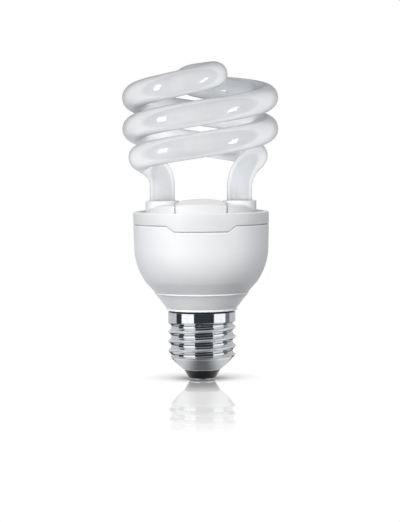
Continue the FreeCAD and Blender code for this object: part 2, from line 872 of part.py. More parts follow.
cut("choke_winding",
    block("winding_outside", (tube_x + s.winding_thickness) * 2, (tube_y + s.winding_thickness) * 2,
          winding_height, (s.choke_x, as_size(0), winding_foot)),
    block("winding_inside", tube_x * 2, tube_y * 2, winding_height, (s.choke_x, as_size(0), winding_foot)))

toroid_level = board_level - s.turn_wire - s.toroid_height
turned("drive_toroid", [
    (s.toroid_inner, 0),
    (s.toroid_outer, 0),
    (s.toroid_outer, s.toroid_height),
    (s.toroid_inner, s.toroid_height),
], (s.toroid_x, 0, toroid_level))
turn_inside = s.toroid_inner - s.turn_slack
turn_middle = (s.toroid_outer + turn_inside) / 2
turn_span = s.toroid_outer - turn_inside
toroid_turns = []
for number, angle in enumerate((0, 120, 240), start=1):
    x = s.toroid_x + turn_middle * math.cos(math.radians(angle))
    y = turn_middle * math.sin(math.radians(angle))
    loop = block(f"turn_{number}_outside", turn_span + s.turn_wire * 2, s.turn_width,
                 s.toroid_height + s.turn_wire * 2, (x, y, toroid_level - s.turn_wire), angle)
    tails = leads(f"turn_{number}", [(x, y)], board_level - s.turn_wire)
    hollow = block(f"turn_{number}_inside", turn_span, s.turn_width + BOX_MARGIN,
                   s.toroid_height, (x, y, toroid_level), angle)
    toroid_turns.append(cut(f"turn_{number}", fused(f"turn_{number}_whole", [loop, *tails]), hollow))
grouped("toroid_winding", toroid_turns)

for label, side in (("transistor_upper_switch", 1), ("transistor_lower_switch", -1)):
    y = s.transistor_y * side
    foot = board_level - s.transistor_height
    case = block(f"{label}_case", s.transistor_width, s.transistor_thickness, s.transistor_height,
                 (s.transistor_x, y, foot))
    hole = lying_rod(f"{label}_hole", s.transistor_hole, s.transistor_thickness + BOX_MARGIN,
                     (s.transistor_x, y, board_level - s.transistor_hole_drop), "y")
    spots = [(s.transistor_x + s.transistor_pitch * step, y) for step in (-1, 0, 1)]
    fused(label, [cut(f"{label}_drilled", case, hole), *leads(label, spots, board_level - BOX_MARGIN)])

for label, width, depth, height, pitch, x, y in (
        ("start_capacitor", s.start_cap_width, s.start_cap_depth, s.start_cap_height, s.start_cap_pitch,
         as_size(0), s.start_cap_y),
        ("blocking_capacitor", s.block_cap_width, s.block_cap_depth, s.block_cap_height, s.block_cap_pitch,
         s.block_cap_x, s.block_cap_y)):
    case = block(f"{label}_case", width, depth, height, (x, y, board_level - height))
    fused(label, [case, *leads(label, pair(x, y, pitch, "x"), board_level - height / 2)])


def lying_part(label, radius, length, x, y, along, pitch=None):
    """Hang a round part under the board on two leads; a disc's leads run across it."""
    centre = board_level - radius
    across = {"x": "y", "y": "x"}[along]
    spots = pair(x, y, length - s.lead_inset * 2, along) if pitch is None else pair(x, y, pitch, across)
    core = lying_rod(f"{label}_core", radius, length, (as_size(x), as_size(y), centre), along)
    return fused(label, [core, *leads(label, spots, centre)])


lying_part("snubber_capacitor", s.snubber_radius, s.snubber_thickness, 0, s.snubber_y, "y", s.snubber_pitch)
lying_part("start_thermistor", s.thermistor_radius, s.thermistor_thickness, s.thermistor_x, s.thermistor_y,
           "x", s.thermistor_pitch)
lying_part("fuse_resistor", s.fuse_radius, s.fuse_length, s.fuse_x, s.fuse_y, "x")
lying_part("diac", s.diac_radius, s.diac_length, s.diac_x, s.diac_y, "y")
grouped("rectifier_diodes", [
    lying_part(f"diode_{number}", s.diode_radius, s.diode_length, x, y, along)
    for number, (x, y, along) in enumerate((
        (s.diode_side_x, s.diode_side_y, "y"),
        (s.diode_side_x, -s.diode_side_y, "y"),
        (s.diode_end_x, s.diode_end_y, "x"),
        (s.diode_end_x, -s.diode_end_y, "x")), start=1)])
grouped("small_resistors", [
    lying_part(f"resistor_{number}", s.resistor_radius, s.resistor_length,
               s.resistor_first_x + s.resistor_step * number, s.resistor_y, "x")
    for number in range(4)])

drum_foot = board_level - s.drum_height
drum = turned("drum", [
    (0, 0),
    (s.drum_radius, 0),
    (s.drum_radius, s.drum_flange),
    (s.drum_waist, s.drum_flange),
    (s.drum_waist, s.drum_height - s.drum_flange),
    (s.drum_radius, s.drum_height - s.drum_flange),
    (s.drum_radius, s.drum_height),
    (0, s.drum_height),
], (s.drum_x, s.drum_y, drum_foot))
fused("input_inductor", [drum, *leads("drum", pair(s.drum_x, s.drum_y, s.drum_pitch, "x"),
                                      board_level - s.drum_flange)])


# Wires between tube, board and cap

def bent_wire(points, bend, radius):
    """Sweep a round wire along straight runs with rounded corners."""
    edges = []
    here = points[0]
    for corner, following in zip(points[1:-1], points[2:]):
        back = (here - corner).normalize()
        onward = (following - corner).normalize()
        half = math.acos(max(-1.0, min(1.0, back.dot(onward)))) / 2
        setback = bend / math.tan(half)
        first, last = corner + back * setback, corner + onward * setback
        bisector = (back + onward).normalize()
        crown = corner + bisector * (bend / math.sin(half) - bend)
        edges.append(Part.makeLine(here, first))
        edges.append(Part.Arc(first, crown, last).toShape())
        here = last
    edges.append(Part.makeLine(here, points[-1]))
    return swept(edges, radius)


pin_spots = [(x, s.pin_spread * side) for x in (-leg_x, leg_x) for side in (-1, 1)]
grouped("wrap_pins", [rod(f"pin_{number}", s.pin_radius, pin_top - pin_bottom, (x, y, pin_bottom))
                      for number, (x, y) in enumerate(pin_spots, start=1)])

wires = []
for x, y in pin_spots:
    side = math.copysign(1.0, y.number)
    start = V(x.number, s.wire_spread.number * side, stub_end.number)
    below = start - V(0, 0, s.wire_drop.number)
    end = V(x.number, y.number - s.pin_radius.number * side, below.z)
    wires.append(bent_wire([start, below, end], s.wire_bend.number, s.wire_radius.number))
from_shape("electrode_leads", Part.makeCompound(wires))

live_top = V(s.live_x.number, s.live_y.number, lead_top.number)
live_turn = (neck_bottom + s.live_turn_rise).number
live_join = (eyelet_top + s.live_join_rise).number
live_points = [live_top, V(live_top.x, live_top.y, live_turn), V(0, 0, live_join),
               V(0, 0, s.contact_height.number)]
from_shape("live_lead", bent_wire(live_points, s.cable_bend.number, s.cable_radius.number))

neutral_top = V(s.neutral_x.number, s.neutral_y.number, lead_top.number)
neutral_level = (neck_bottom - s.neutral_drop).number
neutral_corner = V(neutral_top.x, neutral_top.y, neutral_level)
neutral_reach = shell_bore.number - s.lead_clearance.number
outward = V(neutral_top.x, neutral_top.y, 0).normalize()
neutral_end = outward * neutral_reach + V(0, 0, neutral_level)
from_shape("neutral_lead", bent_wire([neutral_top, neutral_corner, neutral_end], s.neutral_bend.number,
                                     s.cable_radius.number))

hole_height = s.board_thickness + BOX_MARGIN
hole_foot = board_level - BOX_MARGIN / 2
hole_radius = s.lead_radius + s.lead_clearance
board_holes = [rod(f"lead_hole_{number}", hole_radius, hole_height, (x, y, hole_foot))
               for number, (x, y) in enumerate(lead_spots, start=1)]
board_holes += [rod(f"pin_hole_{number}", s.pin_radius, hole_height, (x, y, hole_foot))
                for number, (x, y) in enumerate(pin_spots, start=1)]
board_holes += [rod(f"{name}_hole", s.cable_radius + s.lead_clearance, hole_height, (x, y, hole_foot))
                for name, x, y in (("live", s.live_x, s.live_y), ("neutral", s.neutral_x, s.neutral_y))]
cut("circuit_board", rod("board_disc", board_radius, s.board_thickness, (0, 0, board_level)),
    grouped("board_holes", board_holes))


# Every sub-part is checked before any is written

NODES = (
    "glass_tube", "top_cover", "housing", "screw_shell", "insulator", "centre_contact",
    "left_leg_cement", "right_leg_cement", "circuit_board", "bulk_capacitor", "start_capacitor",
    "blocking_capacitor", "snubber_capacitor", "choke_core_upper", "choke_core_lower", "choke_bobbin",
    "choke_winding", "drive_toroid", "toroid_winding", "transistor_upper_switch", "transistor_lower_switch",
    "rectifier_diodes", "diac", "small_resistors", "fuse_resistor", "start_thermistor", "input_inductor",
    "wrap_pins", "electrode_leads", "live_lead", "neutral_lead",
)

doc.recompute()
failed = [thing.Label for thing in doc.Objects if {"Invalid", "Error"} & set(thing.State)]
if failed:
    raise RuntimeError(f"not built: {failed}")
if not shell.Shape.Volume < thread_full:
    raise RuntimeError("the thread's run-out cuts nothing")
tube_volume = math.pi * s.tube_radius.number ** 2 * sum(edge.Length for edge in middle_line)
if abs(doc.getObject("glass_tube").Shape.Volume / tube_volume - 1.0) > 0.02:
    raise RuntimeError("the tube's volume is not that of its section and length")
parts = {label: doc.getObjectsByLabel(label)[0] for label in NODES}
for label, part in parts.items():
    if part.Shape.isNull() or not part.Shape.isValid() or part.Shape.Volume <= 0.0:
        raise RuntimeError(f"bad shape: {label}")

os.makedirs("parts", exist_ok=True)
for label, part in parts.items():
    part.Shape.exportStep(f"parts/{label}.step")
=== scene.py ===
"""Looks of a spiral energy saving bulb: milky glass tube, white ballast housing and E27 screw cap.

The bulb's sizes are in millimetres, as in the part's source, and the studio's in metres. Meshes are built in
metres, in the part's own frame: the cap's contact stands on the origin, +Z runs up the lamp's axis and the
front faces -Y.
"""
import logging
import math
from collections.abc import Callable, Iterable, Mapping, Sequence
from dataclasses import dataclass
from enum import Enum
from itertools import pairwise
from typing import Any, ClassVar, NamedTuple

import bpy
from mathutils import Matrix, Vector


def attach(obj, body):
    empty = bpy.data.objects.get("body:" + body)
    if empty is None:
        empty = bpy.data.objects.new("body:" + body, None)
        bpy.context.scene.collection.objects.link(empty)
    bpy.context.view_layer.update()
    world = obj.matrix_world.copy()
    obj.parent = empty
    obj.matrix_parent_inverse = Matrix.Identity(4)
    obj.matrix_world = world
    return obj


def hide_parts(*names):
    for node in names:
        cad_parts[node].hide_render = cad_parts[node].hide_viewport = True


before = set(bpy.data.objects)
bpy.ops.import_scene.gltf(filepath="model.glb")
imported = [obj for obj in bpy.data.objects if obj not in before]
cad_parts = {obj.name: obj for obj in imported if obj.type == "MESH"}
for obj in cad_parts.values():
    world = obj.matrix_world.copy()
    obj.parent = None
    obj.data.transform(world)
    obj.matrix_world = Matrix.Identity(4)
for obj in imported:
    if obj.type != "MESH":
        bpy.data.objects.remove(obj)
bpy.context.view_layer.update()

LOG = logging.getLogger("spiral_bulb")
MM = 0.001
# A turned pole starts as a ring of this radius, and what lies within its width is merged
POLE = 0.004

Colour = tuple[float, float, float]
Spot = tuple[float, float, float]
Span = tuple[float, float]
WHITE: Colour = (1.0, 1.0, 1.0)
COOL: Colour = (0.9, 0.95, 1.0)
NAVY: Colour = (0.66, 0.82, 1.0)


class Corner(NamedTuple):
    """A corner of a turned outline: its radius, its level, and how far back its rounding starts."""

    radius: float
    level: float
    rounding: float = 0.0

    def stepped(self, step: "Corner") -> "Corner":
        """Return the corner that lies a step out and up from this one, with the step's rounding."""
        return Corner(self.radius + step.radius, self.level + step.level, step.rounding)


# Outlines


def bow(first: Corner, last: Corner, curve: float, steps: int = 12) -> list[Corner]:
    """Draw an arc that bulges away from the axis.

    Args:
        first: Where the arc starts, the lower end.
        last: Where it ends.
        curve: Its radius.
        steps: How many straight runs stand for it.

    Returns:
        The arc's corners with both ends.
    """
    start, finish = Vector(first[:2]), Vector(last[:2])
    chord = finish - start
    inward = Vector((-chord.y, chord.x)).normalized()
    centre = (start + finish) / 2 + inward * math.sqrt(curve ** 2 - chord.length_squared / 4)
    begin = math.atan2(start.y - centre.y, start.x - centre.x)
    sweep = 2 * math.asin(chord.length / 2 / curve)
    angles = [begin + sweep * step / steps for step in range(steps + 1)]
    return [Corner(centre.x + curve * math.cos(angle), centre.y + curve * math.sin(angle))
            for angle in angles]


def soften(corners: Sequence[Corner], steps: int = 4) -> list[Corner]:
    """Round the corners of an outline that ask for it.

    Args:
        corners: The outline, sharp.
        steps: How many runs go round each rounded corner.

    Returns:
        The outline with short curves in place of those corners.
    """
    smooth = [corners[0]]
    for before, corner, after in zip(corners, corners[1:], corners[2:]):
        here = Vector(corner[:2])
        back = (Vector(before[:2]) - here).normalized() * corner.rounding
        onward = (Vector(after[:2]) - here).normalized() * corner.rounding
        shares = [step / steps for step in range(steps + 1)] if corner.rounding else [0.0]
        smooth.extend(Corner(*(here + back * (1 - share) ** 2 + onward * share ** 2)) for share in shares)
    smooth.append(corners[-1])
    return smooth


# Bench tools


def clear_selection() -> None:
    """Leave edit mode and select nothing."""
    if bpy.context.object and bpy.context.object.mode != "OBJECT":
        bpy.ops.object.mode_set(mode="OBJECT")
    bpy.ops.object.select_all(action="DESELECT")


def take(piece: bpy.types.Object) -> None:
    """Select one piece alone and make it the active one.

    Args:
        piece: The piece to work on next.
    """
    clear_selection()
    piece.select_set(True)
    bpy.context.view_layer.objects.active = piece


def settle(name: str) -> bpy.types.Object:
    """Name the active piece and move its place into its mesh.

    Args:
        name: The name of the piece and of its mesh.

    Returns:
        The piece.
    """
    piece = bpy.context.object
    piece.name = piece.data.name = name
    bpy.ops.object.transform_apply(location=True, rotation=True, scale=True)
    return piece


def tidy(piece: bpy.types.Object, crease: float = 32.0) -> bpy.types.Object:
    """Merge what lies together, turn faces outward and shade smooth.

    Args:
        piece: The piece.
        crease: The angle, in degrees, from which an edge stays sharp.

    Returns:
        The same piece.
    """
    take(piece)
    bpy.ops.object.mode_set(mode="EDIT")
    bpy.ops.mesh.select_all(action="SELECT")
    bpy.ops.mesh.remove_doubles(threshold=POLE * 2 * MM)
    bpy.ops.mesh.normals_make_consistent(inside=False)
    bpy.ops.object.mode_set(mode="OBJECT")
    bpy.ops.object.shade_smooth_by_angle(angle=math.radians(crease))
    return piece


def turned(name: str, outline: Sequence[Corner], steps: int = 256, closed: bool = False) -> bpy.types.Object:
    """Turn an outline about the lamp's axis: a circle is extruded and scaled from corner to corner.

    Args:
        name: The new piece's name.
        outline: Radii and levels from one end to the other.
        steps: How many sides the circle has.
        closed: Whether the last ring joins the first one.

    Returns:
        The piece, with its faces outward.
    """
    clear_selection()
    rings = [Corner(max(corner.radius, POLE), corner.level) for corner in outline]
    bpy.ops.mesh.primitive_circle_add(vertices=steps, radius=rings[0].radius * MM,
                                      location=(0, 0, rings[0].level * MM))
    piece = settle(name)
    bpy.ops.object.mode_set(mode="EDIT")
    bpy.ops.mesh.select_mode(type="EDGE")
    bpy.ops.mesh.select_all(action="SELECT")
    for before, after in pairwise(rings):
        rise = (after.level - before.level) * MM
        ratio = after.radius / before.radius
        bpy.ops.mesh.extrude_edges_move(TRANSFORM_OT_translate={"value": (0, 0, rise)})
        bpy.ops.transform.resize(value=(ratio, ratio, 1.0), center_override=(0, 0, 0))
    if closed:
        bpy.ops.mesh.select_all(action="DESELECT")
        bpy.ops.mesh.select_non_manifold(extend=False, use_wire=False, use_multi_face=False,
                                         use_non_contiguous=False, use_verts=False)
        bpy.ops.mesh.bridge_edge_loops()
    return tidy(piece)


def trimmed(piece: bpy.types.Object, spot: Spot, facing: Spot) -> None:
    """Cut a closed piece by a plane and fill the cut.

    Args:
        piece: The piece.
        spot: A spot on the plane.
        facing: Where the plane faces. What lies on that side is dropped.
    """
    take(piece)
    bpy.ops.object.mode_set(mode="EDIT")
    bpy.ops.mesh.select_all(action="SELECT")
    bpy.ops.mesh.bisect(plane_co=[size * MM for size in spot], plane_no=Vector(facing).normalized(),
                        use_fill=True, clear_outer=True, threshold=POLE * MM)
    bpy.ops.object.mode_set(mode="OBJECT")


def worked(piece: bpy.types.Object, kind: str, **settings: Any) -> None:
    """Give a piece a modifier and apply it.

    Args:
        piece: The piece.
        kind: The modifier's type.
        settings: The modifier's settings.
    """
    take(piece)
    modifier = piece.modifiers.new(kind.title(), kind)
    for name, value in settings.items():
        setattr(modifier, name, value)
    bpy.ops.object.modifier_apply(modifier=modifier.name)


def bevelled(piece: bpy.types.Object, width: float, sharp: float = 30.0) -> bpy.types.Object:
    """Round the edges of a cut piece.

    Args:
        piece: The piece.
        width: How wide the roundings are.
        sharp: The angle, in degrees, from which an edge is rounded.

    Returns:
        The same piece, tidied.
    """
    tidy(piece)
    worked(piece, "BEVEL", width=width * MM, segments=3, limit_method="ANGLE",
           angle_limit=math.radians(sharp))
    return tidy(piece)


def copied(piece: bpy.types.Object, name: str, move: Spot = (0, 0, 0),
           mirror: bool = False) -> bpy.types.Object:
    """Copy a piece with its own mesh.

    Args:
        piece: The piece.
        name: The copy's name.
        move: How far the copy is moved.
        mirror: Whether the copy is mirrored in X.

    Returns:
        The copy.
    """
    take(piece)
    bpy.ops.object.duplicate(linked=False)
    bpy.ops.transform.translate(value=[size * MM for size in move])
    if mirror:
        bpy.context.object.scale.x = -1.0
    return tidy(settle(name))


def joined(name: str, pieces: Sequence[bpy.types.Object]) -> bpy.types.Object:
    """Join the parts of one moulding.

    Args:
        name: The moulding's name.
        pieces: Its parts.

    Returns:
        The moulding as one piece.
    """
    take(pieces[0])
    for piece in pieces:
        piece.select_set(True)
    bpy.ops.object.join()
    return settle(name)


def moved(piece: bpy.types.Object, place: Callable[[Vector], Vector]) -> None:
    """Move every vertex of a piece to where a rule puts it, both in millimetres.

    Args:
        piece: The piece.
        place: The rule, from a vertex's spot to its new one.
    """
    for vertex in piece.data.vertices:
        vertex.co = place(vertex.co / MM) * MM
    piece.data.update()


# Materials


class Signal:
    """The output of a material node, for use in Python expressions."""

    def __init__(self, recipe: "Recipe", socket: bpy.types.NodeSocket) -> None:
        """Keep the socket and the recipe it belongs to."""
        self.recipe = recipe
        self.socket = socket

    def _math(self, operation: str, first: Any, second: Any) -> "Signal":
        """Add a node that works out one operation on two values."""
        return self.recipe.add("ShaderNodeMath", {"operation": operation}, {0: first, 1: second})

    def __add__(self, other: Any) -> "Signal":
        """Add."""
        return self._math("ADD", self, other)

    def __sub__(self, other: Any) -> "Signal":
        """Subtract."""
        return self._math("SUBTRACT", self, other)

    def __rsub__(self, other: Any) -> "Signal":
        """Subtract from a number."""
        return self._math("SUBTRACT", other, self)

    def __mul__(self, other: Any) -> "Signal":
        """Multiply."""
        return self._math("MULTIPLY", self, other)

    def __truediv__(self, other: Any) -> "Signal":
        """Divide."""
        return self._math("DIVIDE", self, other)

    def __abs__(self) -> "Signal":
        """Drop the sign."""
        return self._math("ABSOLUTE", self, 0.0)

    def most(self, other: Any) -> "Signal":
        """Take the larger of two values."""
        return self._math("MAXIMUM", self, other)

    def eased(self, low: float, high: float, start: float = 0.0, finish: float = 1.0) -> "Signal":
        """Go smoothly from start to finish as this goes from low to high."""
        return self.recipe.add("ShaderNodeMapRange", {"interpolation_type": "SMOOTHSTEP"}, {
            "Value": self, "From Min": low, "From Max": high, "To Min": start, "To Max": finish})

    __radd__ = __add__
    __rmul__ = __mul__


class Recipe:
    """A material or a world under construction: its nodes, and the shader that they feed."""

    def __init__(self, name: str, world: bool = False) -> None:
        """Start with an empty node tree and an output.

        Args:
            name: The name of the material or the world.
            world: Whether it is a world.
        """
        self.owner = (bpy.data.worlds if world else bpy.data.materials).new(name)
        self.owner.use_nodes = True
        self.tree = self.owner.node_tree
        self.tree.nodes.clear()
        self.output = self.tree.nodes.new("ShaderNodeOutputWorld" if world else "ShaderNodeOutputMaterial")

    def add(self, kind: str, settings: Mapping[str, Any] | None = None,
            sockets: Mapping[str | int, Any] | None = None, result: str | int = 0) -> Signal:
        """Add any node.

        Args:
            kind: The node's type.
            settings: Its settings, set first.
            sockets: Values or links for its inputs.
            result: The output that is wanted.

        Returns:
            That output.
        """
        node = self.tree.nodes.new(kind)
        for name, value in (settings or {}).items():
            setattr(node, name, value)
        for key, value in (sockets or {}).items():
            if isinstance(value, Signal):
                self.tree.links.new(value.socket, node.inputs[key])
            else:
                node.inputs[key].default_value = value
        return Signal(self, node.outputs[result])

    def place(self) -> Signal:
        """Read the spot on the piece, in metres."""
        return self.add("ShaderNodeTexCoord", result="Object")

    def part_of(self, vector: Signal, axis: str) -> Signal:
        """Read one part of a vector."""
        return self.add("ShaderNodeSeparateXYZ", {}, {0: vector}, result=axis)

    def level(self) -> Signal:
        """Read the level on the piece, in millimetres."""
        return self.part_of(self.place(), "Z") / MM

    def ray(self, kind: str) -> Signal:
        """Tell whether the ray that meets the surface is of one kind."""
        return self.add("ShaderNodeLightPath", result=f"Is {kind} Ray")

    def reach(self, spot: Signal) -> Signal:
        """Read how far a spot is from the origin."""
        return self.add("ShaderNodeVectorMath", {"operation": "LENGTH"}, {0: spot}, result="Value")

    def stretched(self, scale: Spot) -> Signal:
        """Read the spot on the piece with each axis scaled, so that a pattern runs along one of them."""
        return self.add("ShaderNodeMapping", {}, {"Vector": self.place(), "Scale": scale})

    def cloud(self, scale: float, detail: float = 2.0, vector: Signal | None = None) -> Signal:
        """Add soft noise, about 0.5 on average."""
        return self.add("ShaderNodeTexNoise", {}, {"Vector": vector or self.place(), "Scale": scale,
                                                   "Detail": detail})

    def openness(self, reach: float, samples: int, **sockets: Any) -> Signal:
        """Read how open the surroundings are within a reach: 0 in a closed nook, 1 in the open."""
        return self.add("ShaderNodeAmbientOcclusion", {"samples": samples}, {"Distance": reach, **sockets},
                        result="AO")

    def blend(self, share: Any, first: Any, second: Any) -> Signal:
        """Mix two colours by a share."""
        return self.add("ShaderNodeMix", {"data_type": "RGBA"}, {
            0: share, 6: first if isinstance(first, Signal) else (*first, 1.0),
            7: second if isinstance(second, Signal) else (*second, 1.0)}, result=2)

    def glow(self, strength: float, tint: Colour = WHITE) -> Signal:
        """Add an even glow."""
        return self.add("ShaderNodeEmission", {}, {"Strength": strength, "Color": (*tint, 1.0)})

    def mix(self, share: Signal, first: Signal, second: Signal) -> Signal:
        """Mix two shaders by a share."""
        return self.add("ShaderNodeMixShader", {}, {0: share, 1: first, 2: second})

    def bump(self, height: Signal, strength: float, depth: float) -> Signal:
        """Turn a height pattern into a bumped normal: depth is in millimetres."""
        return self.add("ShaderNodeBump", {}, {
            "Strength": strength, "Distance": depth * MM, "Height": height})

    def surface(self, **sockets: Any) -> bpy.types.Material:
        """Finish with the principled shader: a socket's name has _ for its spaces."""
        named = {name.replace("_", " "): value for name, value in sockets.items()}
        return self.ends_with(self.add("ShaderNodeBsdfPrincipled", {}, named))

    def ends_with(self, shader: Signal) -> bpy.types.Material | bpy.types.World:
        """Link a shader to the output and return what it finishes."""
        self.tree.links.new(shader.socket, self.output.inputs["Surface"])
        return self.owner


@dataclass(frozen=True)
class MilkyGlass:
    """Clear glass over a white coating: a glossy skin on a cloudy body.

    Towards the tube's edges the colour is painted lighter, painted light for the clear wall, and at the very
    edge
    it is painted darker, a painted shade. Where the coil faces its own inside, the coating is painted paler:
    painted light that stands in for light thrown to and fro there.
    """

    body: Colour = (0.64, 0.645, 0.655)
    thin: Colour = (0.61, 0.617, 0.63)
    # Painted light and shade by facing: wall is the lighter band towards the edges, edge the darker outline
    wall: Colour = (0.755, 0.76, 0.77)
    edge: Colour = (0.42, 0.428, 0.445)
    # Painted light: the coil's inward faces are painted paler, standing in for light thrown to and fro inside
    # it
    painted_inner_light_high: Colour = (0.79, 0.80, 0.825)
    painted_inner_light_low: Colour = (0.955, 0.96, 0.97)
    coil_foot: Span = (86.0, 92.0)
    last_turn: Span = (103.5, 106.5)
    wall_light_slant: Span = (0.26, 0.38)
    edge_shade_slant: Span = (0.55, 0.9)
    inward: Span = (-0.8, 0.1)
    patch_scale: float = 70.0
    streak_scale: float = 240.0
    streak_share: float = 0.3
    unevenness: Span = (0.38, 0.66)
    skin_scale: float = 320.0
    roughness: float = 0.32
    leg_gloss: float = 0.3
    edge_dulling: float = 0.85

    def material(self) -> bpy.types.Material:
        """Make the finish.

        Returns:
            The tube's material.
        """
        recipe = Recipe("milky_glass")
        patches = recipe.cloud(self.patch_scale, 3.0)
        streaks = recipe.cloud(self.streak_scale, 2.0, recipe.stretched((1.0, 1.0, 0.35)))
        uneven = patches * (1.0 - self.streak_share) + streaks * self.streak_share
        uneven = uneven.eased(*self.unevenness)
        slant = recipe.add("ShaderNodeLayerWeight", {}, {"Blend": 0.5}, result="Facing")
        # Painted light and shade: a lighter wall band and a darker outline, by how far the surface turns from
        # the eye
        wall = slant.eased(*self.wall_light_slant)
        edge = slant.eased(*self.edge_shade_slant)
        outward = recipe.add("ShaderNodeVectorMath", {"operation": "NORMALIZE"},
                             {0: recipe.stretched((1.0, 1.0, 0.0))})
        normal = recipe.add("ShaderNodeTexCoord", result="Normal")
        facing_out = recipe.add("ShaderNodeVectorMath", {"operation": "DOT_PRODUCT"}, {0: outward, 1: normal},
                                result="Value")
        level = recipe.level()
        in_coil = level.eased(*self.coil_foot)
        # Painted light: inward faces within the coil take the paler painted colours
        painted_inner_light_share = facing_out.eased(*self.inward, 1.0, 0.0) * in_coil
        inside = recipe.blend(level.eased(*self.last_turn), self.painted_inner_light_low, self.painted_inner_light_high)
        coated = recipe.blend(painted_inner_light_share, recipe.blend(uneven, self.body, self.thin), inside)
        walled = recipe.blend(wall * (1.0 - painted_inner_light_share), coated, self.wall)
        gloss = in_coil * (1.0 - self.leg_gloss) + self.leg_gloss
        return recipe.surface(
            Base_Color=recipe.blend(edge, walled, self.edge),
            Roughness=uneven * 0.1 + self.roughness, IOR=1.5,
            Subsurface_Weight=1.0, Subsurface_Radius=(1.0, 1.0, 1.0), Subsurface_Scale=0.01,
            Specular_IOR_Level=0.0, Coat_Weight=(1.0 - edge * self.edge_dulling) * gloss,
            Coat_Roughness=0.05, Coat_IOR=1.5,
            Normal=recipe.bump(recipe.cloud(self.skin_scale, 1.0), 0.05, 0.02))


@dataclass(frozen=True)
class SatinPlastic:
    """Moulded white plastic with a fine eroded grain and faint handling marks.

    Its thin neck is painted paler, painted light for what the floor throws up, and where surfaces close in
    it is painted darker, painted shade.
    """

    name: str
    colour: Colour
    handled: Colour
    # Painted light: the colour below the neck levels, paler than the rest
    neck: Colour
    roughness: float
    neck_light_levels: Span = (31.0, 34.5)
    # Painted shade: where the surroundings close in, the colour is painted darker
    crevice_shade: Colour = (0.55, 0.56, 0.58)
    crevice_reach: float = 1.5
    crevice_span: Span = (0.25, 0.95)
    mark_scale: float = 55.0
    grain_scale: float = 2600.0

    def material(self) -> bpy.types.Material:
        """Make the finish.

        Returns:
            The moulding's material.
        """
        recipe = Recipe(self.name)
        marks = recipe.cloud(self.mark_scale, 4.0).eased(0.45, 0.8)
        grain = recipe.cloud(self.grain_scale, 1.0)
        # Painted light: below these levels the neck is painted paler
        above = recipe.level().eased(*self.neck_light_levels)
        # Painted shade: an occlusion reading darkens the colour in crevices and corners
        clear = recipe.openness(self.crevice_reach * MM, 8).eased(*self.crevice_span)
        clean = recipe.blend(above, self.neck, recipe.blend(marks, self.colour, self.handled))
        return recipe.surface(
            Base_Color=recipe.blend(clear, self.crevice_shade, clean),
            Roughness=marks * 0.06 + grain * 0.08 + (self.roughness - 0.04), IOR=1.48,
            Subsurface_Weight=0.12, Subsurface_Radius=(1.0, 1.0, 1.0), Subsurface_Scale=0.0012,
            Normal=recipe.bump(grain, 0.12, 0.03))


@dataclass(frozen=True)
class NickelPlate:
    """Rolled bright nickel: polished roots, rubbed crests with a painted highlight, a duller cone."""

    colour: Colour = (0.68, 0.70, 0.73)
    worn: Colour = (0.575, 0.60, 0.645)
    # Wear and painted highlight: the lighter colour of the crests and of the cone's two edges
    rubbed: Colour = (0.95, 0.965, 0.985)
    # Painted shade: the crimp under the housing's foot is painted dark
    crimp_shade: Colour = (0.12, 0.125, 0.14)
    cone_end: Span = (7.9, 9.1)
    thread_end: Span = (22.0, 22.3)
    crimp_start: Span = (26.3, 26.65)
    crest: Span = (12.84, 13.04)
    brinks: Span = (4.15, 8.7)
    brink_width: Span = (0.1, 0.3)
    spot_scale: float = 480.0
    dent_scale: float = 170.0

    def material(self) -> bpy.types.Material:
        """Make the finish.

        Returns:
            The shell's material.
        """
        recipe = Recipe("nickel_plate")
        level = recipe.level()
        radius = recipe.reach(recipe.stretched((1.0, 1.0, 0.0))) / MM
        cone = level.eased(*self.cone_end, 1.0, 0.0)
        spots = recipe.cloud(self.spot_scale, 2.0).eased(0.5, 0.85)
        # Wear and painted highlight: the crests and the cone's two edges are painted lighter and made rougher
        rub_and_highlight = radius.eased(*self.crest) * level.eased(*self.thread_end, 1.0, 0.0)
        for brink in self.brinks:
            rub_and_highlight = rub_and_highlight.most(abs(level - brink).eased(*self.brink_width, 1.0, 0.0))
        sheet = recipe.blend(spots * 0.6 + cone * 0.25, self.colour, self.worn)
        bright = recipe.blend(rub_and_highlight, sheet, self.rubbed)
        # The top of the shell is painted dark at the crimp, a painted shade
        return recipe.surface(
            Base_Color=recipe.blend(level.eased(*self.crimp_start), bright, self.crimp_shade), Metallic=1.0,
            Roughness=cone * 0.2 + spots * 0.05 + rub_and_highlight * 0.4 + 0.05,
            Normal=recipe.bump(recipe.cloud(self.dent_scale, 1.0), 0.1, 0.1))


@dataclass(frozen=True)
class BlackGlass:
    """Pressed black glass with faint swirls from its melt."""

    colour: Colour = (0.002, 0.004, 0.008)
    swirl: Colour = (0.006, 0.009, 0.015)
    flow_scale: float = 210.0
    ripple_scale: float = 330.0

    def material(self) -> bpy.types.Material:
        """Make the finish.

        Returns:
            The plug's material.
        """
        recipe = Recipe("black_glass")
        flow = recipe.cloud(self.flow_scale, 4.0, recipe.stretched((1.0, 1.0, 2.5))).eased(0.45, 0.75)
        return recipe.surface(
            Base_Color=recipe.blend(flow, self.colour, self.swirl), Roughness=flow * 0.08 + 0.08, IOR=1.52,
            Coat_Weight=0.6, Coat_Roughness=0.04,
            Normal=recipe.bump(recipe.cloud(self.ripple_scale), 0.15, 0.08))


